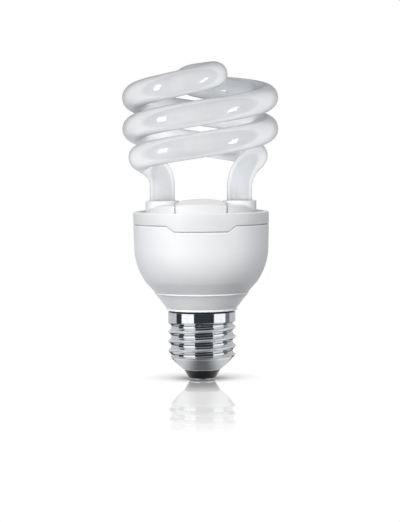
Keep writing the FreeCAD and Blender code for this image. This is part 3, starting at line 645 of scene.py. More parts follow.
@dataclass(frozen=True)
class TinnedMetal:
    """Satin tin or bright wire, rubbed and a little uneven."""

    name: str
    colour: Colour
    dull: Colour
    roughness: float
    rub_scale: float = 420.0
    hair_scale: float = 900.0

    def material(self) -> bpy.types.Material:
        """Make the finish.

        Returns:
            The metal's material.
        """
        recipe = Recipe(self.name)
        rubbed = recipe.cloud(self.rub_scale, 4.0).eased(0.4, 0.75)
        hair = recipe.cloud(self.hair_scale, 2.0, recipe.stretched((1.0, 6.0, 1.0)))
        return recipe.surface(
            Base_Color=recipe.blend(rubbed, self.colour, self.dull), Metallic=1.0,
            Roughness=rubbed * 0.15 + hair * 0.1 + self.roughness, Normal=recipe.bump(hair, 0.2, 0.03))


class Pattern(Enum):
    """What breaks up the colour of an inner part."""

    SPECKLE = "speckle"
    BANDS = "bands"
    TURNS = "turns"
    FIBRE = "fibre"


@dataclass(frozen=True)
class InnerFinish:
    """A finish for what is inside the housing: two colours in a pattern of its own."""

    name: str
    colour: Colour
    second: Colour
    roughness: float
    pattern: Pattern
    scale: float
    metallic: float = 0.0

    def mark(self, recipe: Recipe) -> Signal:
        """Lay out the pattern.

        Args:
            recipe: The material under construction.

        Returns:
            The second colour's share.
        """
        if self.pattern is Pattern.SPECKLE:
            return recipe.cloud(self.scale, 5.0).eased(0.5, 0.72)
        if self.pattern is Pattern.FIBRE:
            across, along = (recipe.cloud(self.scale, 2.0, recipe.stretched(stretch))
                             for stretch in ((1.0, 9.0, 1.0), (9.0, 1.0, 1.0)))
            return (across * 0.5 + along * 0.5).eased(0.4, 0.65)
        direction = "Z" if self.pattern is Pattern.TURNS else "DIAGONAL"
        wave = recipe.add("ShaderNodeTexWave", {"bands_direction": direction}, {
            "Vector": recipe.place(), "Scale": self.scale, "Distortion": 0.6, "Detail Scale": 2.0},
            result="Fac")
        return wave.eased(0.35, 0.8)

    def material(self) -> bpy.types.Material:
        """Make the finish.

        Returns:
            The inner part's material.
        """
        recipe = Recipe(self.name)
        mark = self.mark(recipe)
        return recipe.surface(
            Base_Color=recipe.blend(mark, self.colour, self.second), Metallic=self.metallic,
            Roughness=mark * 0.12 + self.roughness, Normal=recipe.bump(mark, 0.3, 0.05))


# The lamp's own parts


@dataclass
class SpiralTube:
    """The discharge tube: two legs, two necks, two starts of one coil and the bridge at the top."""

    radius: float = 4.85
    leg_x: float = 14.9
    stub_radius: float = 1.6
    stub_levels: Span = (53.0, 54.5)
    stub_arm: float = 0.4
    leg_end: float = 56.0
    leg_arm: float = 4.0
    coil_radius: float = 25.25
    coil_pitch: float = 24.0
    coil_right_level: float = 97.1
    bridge_level: float = 117.6
    bridge_heading: float = 130.0
    bridge_fall: float = 3.5
    longest_run: float = 40.0
    steps_along: int = 20
    steps_round: int = 14

    @dataclass(frozen=True)
    class Half:
        """What differs between the two starts: levels and reaches in millimetres, angles in degrees."""

        leg_top: float
        neck_rise: float
        neck_reach: float
        coil_start: float
        coil_end: float
        lull_angle: float
        lull_drop: float
        lull_flatness: float
        turn_reach: float
        bridge_reach: float

    LEFT: ClassVar[Half] = Half(75.7, 10.2, 16.2, 222.0, 540.0, 587.0, 0.0, 0.0, 16.6, 24.6)
    RIGHT: ClassVar[Half] = Half(74.0, 13.4, 19.4, 236.0, 550.0, 611.0, 0.9, 0.4, 10.0, 18.5)

    def coil_point(self, angle: float, drop: float = 0.0) -> Vector:
        """Find a point of the coil's middle line.

        Args:
            angle: Where on the coil, in degrees.
            drop: How far the point is lowered.

        Returns:
            The point.
        """
        turn = math.radians(angle)
        level = self.coil_right_level + self.coil_pitch * (angle - 360.0) / 360.0
        return Vector((self.coil_radius * math.cos(turn), self.coil_radius * math.sin(turn), level - drop))

    def coil_heading(self, angle: float, flatter: float = 0.0) -> Vector:
        """Find the coil's direction.

        Args:
            angle: Where on the coil, in degrees.
            flatter: The share of its rise that is taken off.

        Returns:
            The direction, one unit long.
        """
        turn = math.radians(angle)
        rise = self.coil_pitch / (2 * math.pi * self.coil_radius)
        return Vector((-math.sin(turn), math.cos(turn), rise * (1.0 - flatter))).normalized()

    def coil_arm(self, sweep: float) -> float:
        """Return how long a curve's handles are for a run of the coil of so many degrees."""
        return 4.0 / 3.0 * math.tan(math.radians(sweep) / 4.0) * self.coil_radius

    def half_line(self, half: Half, fall: float) -> list[tuple[Vector, Vector, Vector, float]]:
        """Lay out one start from its foot to the middle of the bridge, as for the left leg.

        Args:
            half: The start's own sizes.
            fall: How steeply the bridge runs down from it, in degrees.

        Returns:
            Curve points: the handle before, the point, the handle after, and the radius as a share.
        """
        leg = -self.leg_x
        upright = Vector((0, 0, 1))
        stub = self.stub_radius / self.radius
        points = []

        def add(point: Vector, heading: Vector, before: float, after: float, share: float = 1.0) -> None:
            """Add a point with handles along its heading."""
            points.append((point - heading * before, point, point + heading * after, share))

        for level, share in zip((*self.stub_levels, self.leg_end), (stub, stub, 1.0)):
            add(Vector((leg, 0, level)), upright, self.stub_arm, self.stub_arm, share)
        add(Vector((leg, 0, half.leg_top)), upright, self.leg_arm, half.neck_rise)
        runs = round((half.coil_end - half.coil_start) / self.longest_run)
        step = (half.coil_end - half.coil_start) / runs
        arm, lull_arm = self.coil_arm(step), self.coil_arm(half.lull_angle - half.coil_end)
        for run in range(runs + 1):
            angle = half.coil_start + step * run
            add(self.coil_point(angle), self.coil_heading(angle), half.neck_reach if run == 0 else arm,
                lull_arm if run == runs else arm)
        add(self.coil_point(half.lull_angle, half.lull_drop),
            self.coil_heading(half.lull_angle, half.lull_flatness), lull_arm, half.turn_reach)
        heading, slope = math.radians(self.bridge_heading), math.radians(fall)
        level_run = math.cos(slope)
        onward = Vector((math.cos(heading) * level_run, math.sin(heading) * level_run, -math.sin(slope)))
        add(Vector((0, 0, self.bridge_level)), onward, half.bridge_reach, half.bridge_reach)
        return points

    def build(self) -> bpy.types.Object:
        """Bend the glass: one curve through both starts, given its round section and made a mesh.

        Returns:
            The tube.
        """
        left = self.half_line(self.LEFT, self.bridge_fall)
        right = [(Vector((-after.x, -after.y, after.z)), Vector((-point.x, -point.y, point.z)),
                  Vector((-before.x, -before.y, before.z)), share)
                 for before, point, after, share in reversed(self.half_line(self.RIGHT, -self.bridge_fall))]
        line = [*left[:-1], (left[-1][0], left[-1][1], right[0][2], 1.0), *right[1:]]
        clear_selection()
        bpy.ops.curve.primitive_bezier_curve_add()
        curve = bpy.context.object.data
        spline = curve.splines[0]
        spline.bezier_points.add(len(line) - len(spline.bezier_points))
        for knot, (before, point, after, share) in zip(spline.bezier_points, line):
            knot.handle_left_type = knot.handle_right_type = "FREE"
            knot.handle_left, knot.co, knot.handle_right = before * MM, point * MM, after * MM
            knot.radius = share
        curve.dimensions = "3D"
        curve.resolution_u = self.steps_along
        curve.bevel_depth = self.radius * MM
        curve.bevel_resolution = self.steps_round
        curve.use_fill_caps = True
        bpy.ops.object.convert(target="MESH")
        return tidy(settle("spiral_tube"), 60.0)


@dataclass
class Seam:
    """The line between housing and cover: level all round, and lower at the front under the cover's tab.

    Rings a little above and below it stay level, so that the tab bends nothing beyond them.
    """

    radius: float = 26.2
    level: float = 60.5
    bevel: float = 0.3
    slit: float = 0.08
    edge_round: float = 0.08
    margin: float = 0.12
    level_above: float = 1.2
    level_below: float = 3.4
    tab_drop: float = 2.2
    half_foot: float = 10.3
    half_top: float = 13.2

    def drop(self, spot: Vector) -> float:
        """Find how far the line is down at a bearing.

        Args:
            spot: A spot at that bearing.

        Returns:
            The drop.
        """
        if spot.y > 0:
            return 0.0
        across = abs(spot.x) / math.hypot(spot.x, spot.y) * self.radius
        share = (self.half_top - across) / (self.half_top - self.half_foot)
        return self.tab_drop * min(max(share, 0.0), 1.0)

    def follow(self, piece: bpy.types.Object) -> None:
        """Bring a turned piece's edge at the seam down along the tab.

        Args:
            piece: The piece.
        """
        def place(spot: Vector) -> Vector:
            """Lower a vertex near the seam."""
            near = abs(spot.z - self.level) < self.bevel + self.slit + self.margin
            return Vector((spot.x, spot.y, spot.z - self.drop(spot))) if near else spot

        moved(piece, place)


@dataclass
class Housing:
    """The ballast cup: a neck that goes into the cap, a flared foot, a crease and a round cup.

    The lip and the flare's foot are steps from the foot, the bead from the crease, and the wall's top from
    the seam.
    """

    seam: Seam
    neck: Span = (9.8, 11.3)
    neck_bottom: float = 14.0
    neck_round: float = 0.3
    foot: Corner = Corner(13.68, 27.2)
    lip: tuple[Corner, ...] = (Corner(0.0, 0.0, 0.14), Corner(-0.06, 0.55, 0.06), Corner(-0.12, 0.65, 0.05))
    flare_foot: Corner = Corner(0.02, 0.95)
    flare: Corner = Corner(14.6, 29.2)
    flare_curve: float = 9.0
    crease: Corner = Corner(17.95, 33.6)
    bead: tuple[Corner, ...] = (Corner(0.28, 0.04, 0.1), Corner(0.22, 0.5, 0.06), Corner(0.18, 0.62, 0.05))
    knee: Corner = Corner(21.65, 38.1)
    cup: Corner = Corner(25.9, 50.0)
    cup_curve: float = 25.0
    wall_top: Corner = Corner(-0.06, -3.2)
    wall: float = 2.2
    socket: float = 24.45
    ledge: Corner = Corner(22.65, 48.4)

    def build(self) -> bpy.types.Object:
        """Turn the cup and let its edge follow the seam.

        Returns:
            The cup.
        """
        seam, (inner, outer) = self.seam, self.neck
        edge = seam.level - seam.slit
        outline = soften([
            Corner(inner, self.neck_bottom),
            Corner(outer, self.neck_bottom, self.neck_round),
            Corner(outer, self.foot.level),
            *(self.foot.stepped(step) for step in self.lip),
            *bow(self.foot.stepped(self.flare_foot), self.flare, self.flare_curve),
            self.crease,
            *(self.crease.stepped(step) for step in self.bead),
            *bow(self.knee, self.cup, self.cup_curve, 24),
            Corner(seam.radius, seam.level).stepped(self.wall_top),
            Corner(seam.radius, edge - seam.bevel, seam.edge_round),
            Corner(seam.radius - seam.bevel, edge, seam.edge_round),
            Corner(self.socket, edge),
            Corner(self.socket, seam.level - seam.level_below),
            Corner(self.socket, self.ledge.level),
            self.ledge,
            Corner(self.ledge.radius, self.ledge.level - self.wall * 2),
            *(corner.stepped(Corner(-self.wall, 0.0)) for corner in (self.knee, self.crease, self.flare)),
            Corner(inner, self.foot.level),
        ])
        piece = turned("ballast_cup", outline, 360, closed=True)
        seam.follow(piece)
        return piece


@dataclass
class TopCover:
    """The cover: a band with its front tab, a recess, a platform with a domed bridge, and two collars.

    The cement's creep up a collar and a leg is given as steps from the bed's top.
    """

    seam: Seam
    spigot: Span = (22.95, 24.35)
    spigot_foot: float = 50.0
    plate: Span = (62.4, 64.0)
    rim_level: float = 65.4
    rim_round: float = 0.7
    rim_inside: float = 24.7
    recess_round: float = 0.3
    platform_foot: float = 63.5
    platform_radius: float = 21.4
    platform_bevel: float = 0.3
    shoulder: Corner = Corner(9.8, 68.2)
    brow: Corner = Corner(16.4, 67.75)
    side: Corner = Corner(21.4, 65.7)
    bridge_half: float = 9.8
    bridge_radius: float = 21.8
    bridge_edge: float = 68.6
    bridge_draft: float = 0.05
    bridge_bevel: float = 0.28
    dome_level: float = 69.95
    dome_flank: float = 8.3
    dome_fall: Span = (0.15, 0.55)
    dome_margin: float = 0.05
    groove: float = 0.16
    crease: float = 28.0
    leg_x: float = 14.9
    leg_radius: float = 4.86
    drill_length: float = 30.0
    collar: Span = (5.6, 6.5)
    collar_top: float = 69.5
    collar_round: float = 0.3
    collar_waist: float = 64.5
    bed: Span = (60.0, 68.6)
    creep_on_collar: tuple[Corner, ...] = (Corner(0.0, 0.2), Corner(-0.12, 0.06), Corner(-0.3, 0.0))
    creep_on_leg: tuple[Corner, ...] = (Corner(0.25, 0.02), Corner(0.1, 0.12), Corner(0.0, 0.3))

    def bored(self, piece: bpy.types.Object) -> None:
        """Bore the places of the two legs through a piece.

        Args:
            piece: The piece.
        """
        clear_selection()
        bpy.ops.mesh.primitive_cylinder_add(
            vertices=96, radius=self.collar[0] * MM, depth=self.drill_length * MM,
            location=(self.leg_x * MM, 0, self.plate[1] * MM))
        drill = settle("leg_drill")
        pair = tidy(joined("leg_drills", [copied(drill, "other_drill", (-2 * self.leg_x, 0, 0)), drill]))
        worked(piece, "BOOLEAN", operation="DIFFERENCE", solver="EXACT", object=pair)
        bpy.data.objects.remove(pair)

    def band(self) -> bpy.types.Object:
        """Turn the band with its spigot, rim and plate, and bring its edge down along the tab.

        Returns:
            The band.
        """
        seam, (inner, outer), (plate_foot, plate_top) = self.seam, self.spigot, self.plate
        piece = turned("cover_band", soften([
            Corner(0, plate_foot),
            Corner(inner, plate_foot),
            Corner(inner, self.spigot_foot),
            Corner(outer, self.spigot_foot),
            Corner(outer, seam.level - seam.level_below),
            Corner(outer, seam.level),
            Corner(seam.radius - seam.bevel, seam.level, seam.edge_round),
            Corner(seam.radius, seam.level + seam.bevel, seam.edge_round),
            Corner(seam.radius, seam.level + seam.level_above),
            Corner(seam.radius, self.rim_level, self.rim_round),
            Corner(self.rim_inside, self.rim_level, self.recess_round),
            Corner(self.rim_inside, plate_top, self.recess_round),
            Corner(0, plate_top),
        ], 5), 360)
        seam.follow(piece)
        return piece

    def wing(self) -> bpy.types.Object:
        """Cut the right half of the platform, with its sloping top, from a round block.

        Returns:
            The wing.
        """
        clear_selection()
        height = self.dome_level - self.platform_foot
        bpy.ops.mesh.primitive_cylinder_add(vertices=256, radius=self.platform_radius * MM, depth=height * MM,
                                            location=(0, 0, (self.platform_foot + height / 2) * MM))
        piece = settle("platform_right")
        trimmed(piece, (self.bridge_half + self.groove, 0, 0), (-1, 0, 0))
        for inner, outer in pairwise((self.shoulder, self.brow, self.side)):
            slope = (inner.level - outer.level, 0, outer.radius - inner.radius)
            trimmed(piece, (outer.radius, 0, outer.level), slope)
        return bevelled(piece, self.platform_bevel)

    def bridge(self) -> bpy.types.Object:
        """Turn the dome, cut its two straight sides and let it fall towards them.

        Returns:
            The bridge.
        """
        rise = self.dome_level - self.bridge_edge
        curve = (self.bridge_radius ** 2 + rise ** 2) / (2 * rise)
        edge, top = Corner(self.bridge_radius, self.bridge_edge), Corner(0, self.dome_level)
        piece = turned("bridge_dome", [
            Corner(0, self.platform_foot),
            Corner(self.bridge_radius, self.platform_foot),
            *bow(edge, top, curve, 10),
        ])
        for side in (-1, 1):
            trimmed(piece, (self.bridge_half * side, 0, self.bridge_edge), (side, 0, -self.bridge_draft))

        def place(spot: Vector) -> Vector:
            """Lower a vertex of the dome, most of all in the middle of a straight side.

            Args:
                spot: Where the vertex is.

            Returns:
                Its new spot.
            """
            if spot.z < self.bridge_edge - self.dome_margin:
                return spot
            ends, middle = self.dome_fall
            depth = ends + middle * max(1.0 - (spot.y / self.bridge_radius) ** 2, 0.0)
            return Vector((spot.x, spot.y, spot.z - depth * abs(spot.x / self.dome_flank) ** 3))

        moved(piece, place)
        return bevelled(piece, self.bridge_bevel)

    def ring(self, name: str, outline: Sequence[Corner]) -> list[bpy.types.Object]:
        """Turn a ring, and stand it round both legs.

        Args:
            name: The ring's name, without its side.
            outline: Its closed outline.

        Returns:
            The left and the right ring.
        """
        ring = turned(name, outline, 128, closed=True)
        pair = [copied(ring, f"{side}_{name}", (x, 0, 0))
                for side, x in (("left", -self.leg_x), ("right", self.leg_x))]
        bpy.data.objects.remove(ring)
        return pair

    def build(self) -> bpy.types.Object:
        """Make the whole cover as one moulding.

        Returns:
            The cover.
        """
        inner, outer = self.collar
        wing = self.wing()
        bodies = [self.band(), wing, copied(wing, "platform_left", mirror=True), self.bridge()]
        for body in bodies:
            self.bored(body)
            tidy(body, self.crease)
        collars = self.ring("collar", soften([
            Corner(inner, self.platform_foot),
            Corner(outer, self.platform_foot),
            Corner(outer, self.collar_top, self.collar_round),
            Corner(inner, self.collar_top, self.collar_round),
            Corner(inner, self.collar_waist),
        ]))
        return joined("cover_moulding", [*bodies, *collars])

    def beds(self) -> list[bpy.types.Object]:
        """Fill the gap between each leg and its collar with cement that creeps up both.

        Returns:
            The left and the right bed.
        """
        foot, top = self.bed
        inner, outer = self.leg_radius, self.collar[0]
        return self.ring("leg_bed", [
            Corner(inner, foot),
            Corner(outer, foot),
            *(Corner(outer, top).stepped(step) for step in self.creep_on_collar),
            *(Corner(inner, top).stepped(step) for step in self.creep_on_leg),
        ])


@dataclass
class ScrewCap:
    """The E27 cap: a rolled shell with its thread, a black glass plug and the centre contact.

    The plug's rim is given as steps from its widest place at the shell's lower edge.
    """

    bottom: float = 4.1
    bottom_radius: float = 7.25
    throat: float = 6.36
    cone_slope: float = 1.02
    bulge: float = 0.25
    bore: float = 11.4
    root: float = 12.0
    depth: float = 1.13
    pitch: float = 3.629
    start: float = 6.03
    crest_power: float = 1.3
    band_rise: Span = (21.84, 22.98)
    band_radius: float = 13.1
    band_top: float = 26.4
    top: float = 26.8
    lip: float = 0.4
    blend: float = 0.22
    levels: int = 270
    sleeve_margin: float = 0.05
    plug_foot: float = 5.2
    plug_round: float = 0.3
    plug_top: float = 6.9
    plug_rim: tuple[Corner, ...] = (Corner(0.0, -0.35, 0.3), Corner(-0.1, 0.0, 0.05))
    plug_depth: float = 2.0
    dish: tuple[Corner, ...] = (Corner(0, 0.06), Corner(0.9, 0.1, 0.3), Corner(1.55, 0.5, 0.2),
                                Corner(2.3, 0.5, 0.25), Corner(3.0, 0.0, 0.35))
    contact_radius: float = 5.0
    contact_height: float = 0.85
    contact_rounds: Span = (0.5, 0.2)
    eyelet: Corner = Corner(2.0, 6.2)

    def cone(self, level: float) -> float:
        """Find the radius of the cone: a straight line with a little bulge.

        Args:
            level: Where on the cone.

        Returns:
            The radius.
        """
        rise = level - self.bottom
        share = min(rise / (self.root - self.bottom_radius) * self.cone_slope, 1.0)
        return self.bottom_radius + rise * self.cone_slope + self.bulge * math.sin(math.pi * share)

    def skin(self, angle: float, level: float) -> float:
        """Find the shell's outer radius: a rolled wave that runs out on the cone and meets the band.

        Args:
            angle: Where round the axis, in radians.
            level: Where along it.

        Returns:
            The radius.
        """
        phase = 2 * math.pi * (level - self.start) / self.pitch - angle
        thread = self.root + self.depth * (0.5 + 0.5 * math.cos(phase)) ** self.crest_power
        low, high = self.band_rise
        flare = self.root + (self.band_radius - self.root) * self._ease((level - low) / (high - low))
        outer = self._joined(thread, flare, self.blend)
        lean = -self._joined(-outer, -self.cone(level), self.blend)
        if level > self.band_top:
            lean = min(lean, self.band_radius - self.lip * self._ease((level - self.band_top) / self.lip))
        return min(lean, self.band_radius)

    @staticmethod
    def _ease(share: float) -> float:
        """Go smoothly from 0 to 1."""
        share = min(max(share, 0.0), 1.0)
        return share * share * (3 - 2 * share)

    @staticmethod
    def _joined(first: float, second: float, blend: float) -> float:
        """Return the larger of two values, rounded where they are close."""
        overlap = max(blend - abs(first - second), 0.0) / blend
        return max(first, second) + overlap * overlap * blend / 4

    def shell(self) -> bpy.types.Object:
        """Turn a plain sleeve of fine rings and roll the thread into its outside.

        Returns:
            The shell.
        """
        rise = self.top - self.bottom
        sleeve = [Corner(min(self.cone(level), self.root), level)
                  for level in (self.bottom + rise * step / self.levels for step in range(self.levels + 1))]
        inside = [Corner(self.bore, self.top),
                  Corner(self.bore, self.bottom + (self.bore - self.throat) / self.cone_slope),
                  Corner(self.throat, self.bottom)]
        piece = turned("screw_shell_rolled", [*sleeve, *inside], 192, closed=True)

        def place(spot: Vector) -> Vector:
            """Move a vertex of the sleeve to the rolled skin.

            Args:
                spot: Where the vertex is.

            Returns:
                Its new spot.
            """
            radius = math.hypot(spot.x, spot.y)
            if abs(radius - min(self.cone(spot.z), self.root)) > self.sleeve_margin:
                return spot
            factor = self.skin(math.atan2(spot.y, spot.x), spot.z) / radius
            return Vector((spot.x * factor, spot.y * factor, spot.z))

        moved(piece, place)
        return tidy(piece, 50.0)

    def plug(self) -> bpy.types.Object:
        """Turn the glass plug that parts the contact from the shell."""
        top = self.bottom + self.plug_depth
        return turned("insulator_plug", soften([
            Corner(self.eyelet.radius, self.contact_height),
            Corner(self.plug_foot, self.contact_height, self.plug_round),
            *(Corner(self.plug_top, self.bottom).stepped(step) for step in self.plug_rim),
            Corner(self.throat, self.bottom),
            Corner(self.throat + self.plug_depth, top),
            Corner(self.eyelet.radius, top),
        ]), 160, closed=True)

    def contact(self) -> bpy.types.Object:
        """Turn the contact disc with its dished middle, the bead of solder in it and the eyelet above."""
        lower_round, upper_round = self.contact_rounds
        return turned("contact_disc", soften([
            *self.dish,
            Corner(self.contact_radius, 0.0, lower_round),
            Corner(self.contact_radius, self.contact_height, upper_round),
            Corner(self.eyelet.radius, self.contact_height),
            self.eyelet,
            Corner(0, self.eyelet.level),
        ]), 128)


class Ballast:
    """The electronic ballast, which keeps the solids of the part and gets a finish for each kind."""

    FINISHES: ClassVar[tuple[tuple[InnerFinish | TinnedMetal, tuple[str, ...]], ...]] = (
        (InnerFinish("board_laminate", (0.55, 0.42, 0.24), (0.47, 0.34, 0.18), 0.45, Pattern.FIBRE, 900.0),
         ("circuit_board",)),
        (InnerFinish("capacitor_sleeve", (0.04, 0.05, 0.09), (0.10, 0.11, 0.15), 0.25, Pattern.BANDS, 60.0),
         ("bulk_capacitor",)),
        (InnerFinish("film_case", (0.50, 0.20, 0.06), (0.40, 0.14, 0.04), 0.22, Pattern.SPECKLE, 500.0),
         ("start_capacitor", "blocking_capacitor")),
        (InnerFinish("disc_coating", (0.13, 0.25, 0.50), (0.09, 0.18, 0.40), 0.3, Pattern.SPECKLE, 800.0),
         ("snubber_capacitor", "diac", "start_thermistor")),
        (InnerFinish("ferrite", (0.06, 0.06, 0.065), (0.10, 0.10, 0.10), 0.6, Pattern.SPECKLE, 1500.0),
         ("choke_core_upper", "choke_core_lower", "drive_toroid", "input_inductor")),
        (InnerFinish("black_moulding", (0.03, 0.03, 0.03), (0.05, 0.05, 0.05), 0.55, Pattern.SPECKLE, 1800.0),
         ("choke_bobbin", "transistor_upper_switch", "transistor_lower_switch", "rectifier_diodes")),
        (InnerFinish("copper_wire", (0.62, 0.26, 0.11), (0.30, 0.11, 0.05), 0.25, Pattern.TURNS, 1000.0, 0.8),
         ("choke_winding", "toroid_winding")),
        (InnerFinish("resistor_body", (0.60, 0.50, 0.32), (0.25, 0.12, 0.05), 0.35, Pattern.BANDS, 300.0),
         ("small_resistors", "fuse_resistor")),
        (TinnedMetal("tinned_wire", (0.70, 0.70, 0.70), (0.55, 0.55, 0.54), 0.2),
         ("wrap_pins", "electrode_leads")),
        (InnerFinish("lead_sleeve", (0.80, 0.78, 0.72), (0.70, 0.67, 0.60), 0.5, Pattern.SPECKLE, 700.0),
         ("live_lead", "neutral_lead")),
    )

    def dress(self) -> None:
        """Give every inner solid its finish."""
        for finish, names in self.FINISHES:
            material = finish.material()
            for name in names:
                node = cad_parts[name]
                node.data.materials.clear()
                node.data.materials.append(material)
                LOG.info("dressed %s with %s", name, material.name)


# The studio


class Aim(Enum):
    """What a light reaches: everything, the glass tube alone, or everything else."""

    ALL = "all"
    GLASS = "INCLUDE"
    BODY = "EXCLUDE"

    def apply(self, light: bpy.types.Object) -> None:
        """Keep a light to its aim.

        Args:
            light: A lamp or a glowing panel.
        """
        if self is Aim.ALL:
            return
        group = bpy.data.collections.new(f"{light.name}_aim")
        group.objects.link(bpy.data.objects["spiral_tube"])
        group.collection_objects[0].light_linking.link_state = self.value
        light.light_linking.receiver_collection = group


def only_reflected(piece: bpy.types.Object, brightness: float, tint: Colour = WHITE) -> None:
    """Make a piece of the set glow where only reflections see it, and keep its light off the glass.

    Args:
        piece: The piece.
        brightness: How bright it looks, where 1 is white.
        tint: The colour of its glow.
    """
    recipe = Recipe(piece.name)
    piece.data.materials.append(recipe.ends_with(recipe.glow(brightness, tint)))
    for sight in ("camera", "diffuse", "transmission", "shadow"):
        setattr(piece, f"visible_{sight}", False)
    Aim.BODY.apply(piece)


@dataclass(frozen=True)
class Softbox:
    """A flat lamp, which shows in reflections only if it is a glint."""

    name: str
    bearing: float
    height: float
    distance: float
    size: Span
    power: float
    aim: Aim = Aim.ALL
    tint: Colour = WHITE
    glint: bool = False

    TARGET: ClassVar[Spot] = (0.0, 0.0, 0.06)

    def hang(self) -> None:
        """Hang it on its bearing from the front, in degrees to the right, facing the bulb's middle."""
        turn, tilt = math.radians(self.bearing), math.radians(self.height)
        away = Vector((math.sin(turn) * math.cos(tilt), -math.cos(turn) * math.cos(tilt), math.sin(tilt)))
        clear_selection()
        bpy.ops.object.light_add(type="AREA", location=Vector(self.TARGET) + away * self.distance)
        lamp = bpy.context.object
        lamp.name = self.name
        lamp.rotation_euler = away.to_track_quat("Z", "Y").to_euler()
        lamp.data.shape = "RECTANGLE"
        lamp.data.size, lamp.data.size_y = self.size
        lamp.data.energy = self.power
        lamp.data.color = self.tint
        lamp.visible_camera = False
        lamp.visible_glossy = self.glint
        self.aim.apply(lamp)


@dataclass(frozen=True)
class Panel:
    """A bent panel round the set that only reflections see: a bright box, a grey cloth or a dark flag."""

    name: str
    bearings: Span
    levels: Span
    distance: float
    brightness: float
    tint: Colour = WHITE

    def stand(self) -> None:
        """Stand it between two bearings, in degrees to the right of the front."""
        first, last = self.bearings
        low, high = self.levels
        clear_selection()
        bpy.ops.mesh.primitive_circle_add(vertices=120, radius=self.distance, location=(0, 0, low))
        piece = settle(self.name)
        bpy.ops.object.mode_set(mode="EDIT")
        bpy.ops.mesh.select_all(action="SELECT")
        bpy.ops.mesh.extrude_edges_move(TRANSFORM_OT_translate={"value": (0, 0, high - low)})
        bpy.ops.mesh.select_all(action="DESELECT")
        bpy.ops.mesh.select_mode(type="FACE")
        bpy.ops.object.mode_set(mode="OBJECT")
        for face in piece.data.polygons:
            bearing = math.degrees(math.atan2(face.center.x, -face.center.y))
            face.select = not first <= bearing <= last
        bpy.ops.object.mode_set(mode="EDIT")
        bpy.ops.mesh.delete(type="FACE")
        bpy.ops.object.mode_set(mode="OBJECT")
        only_reflected(piece, self.brightness, self.tint)


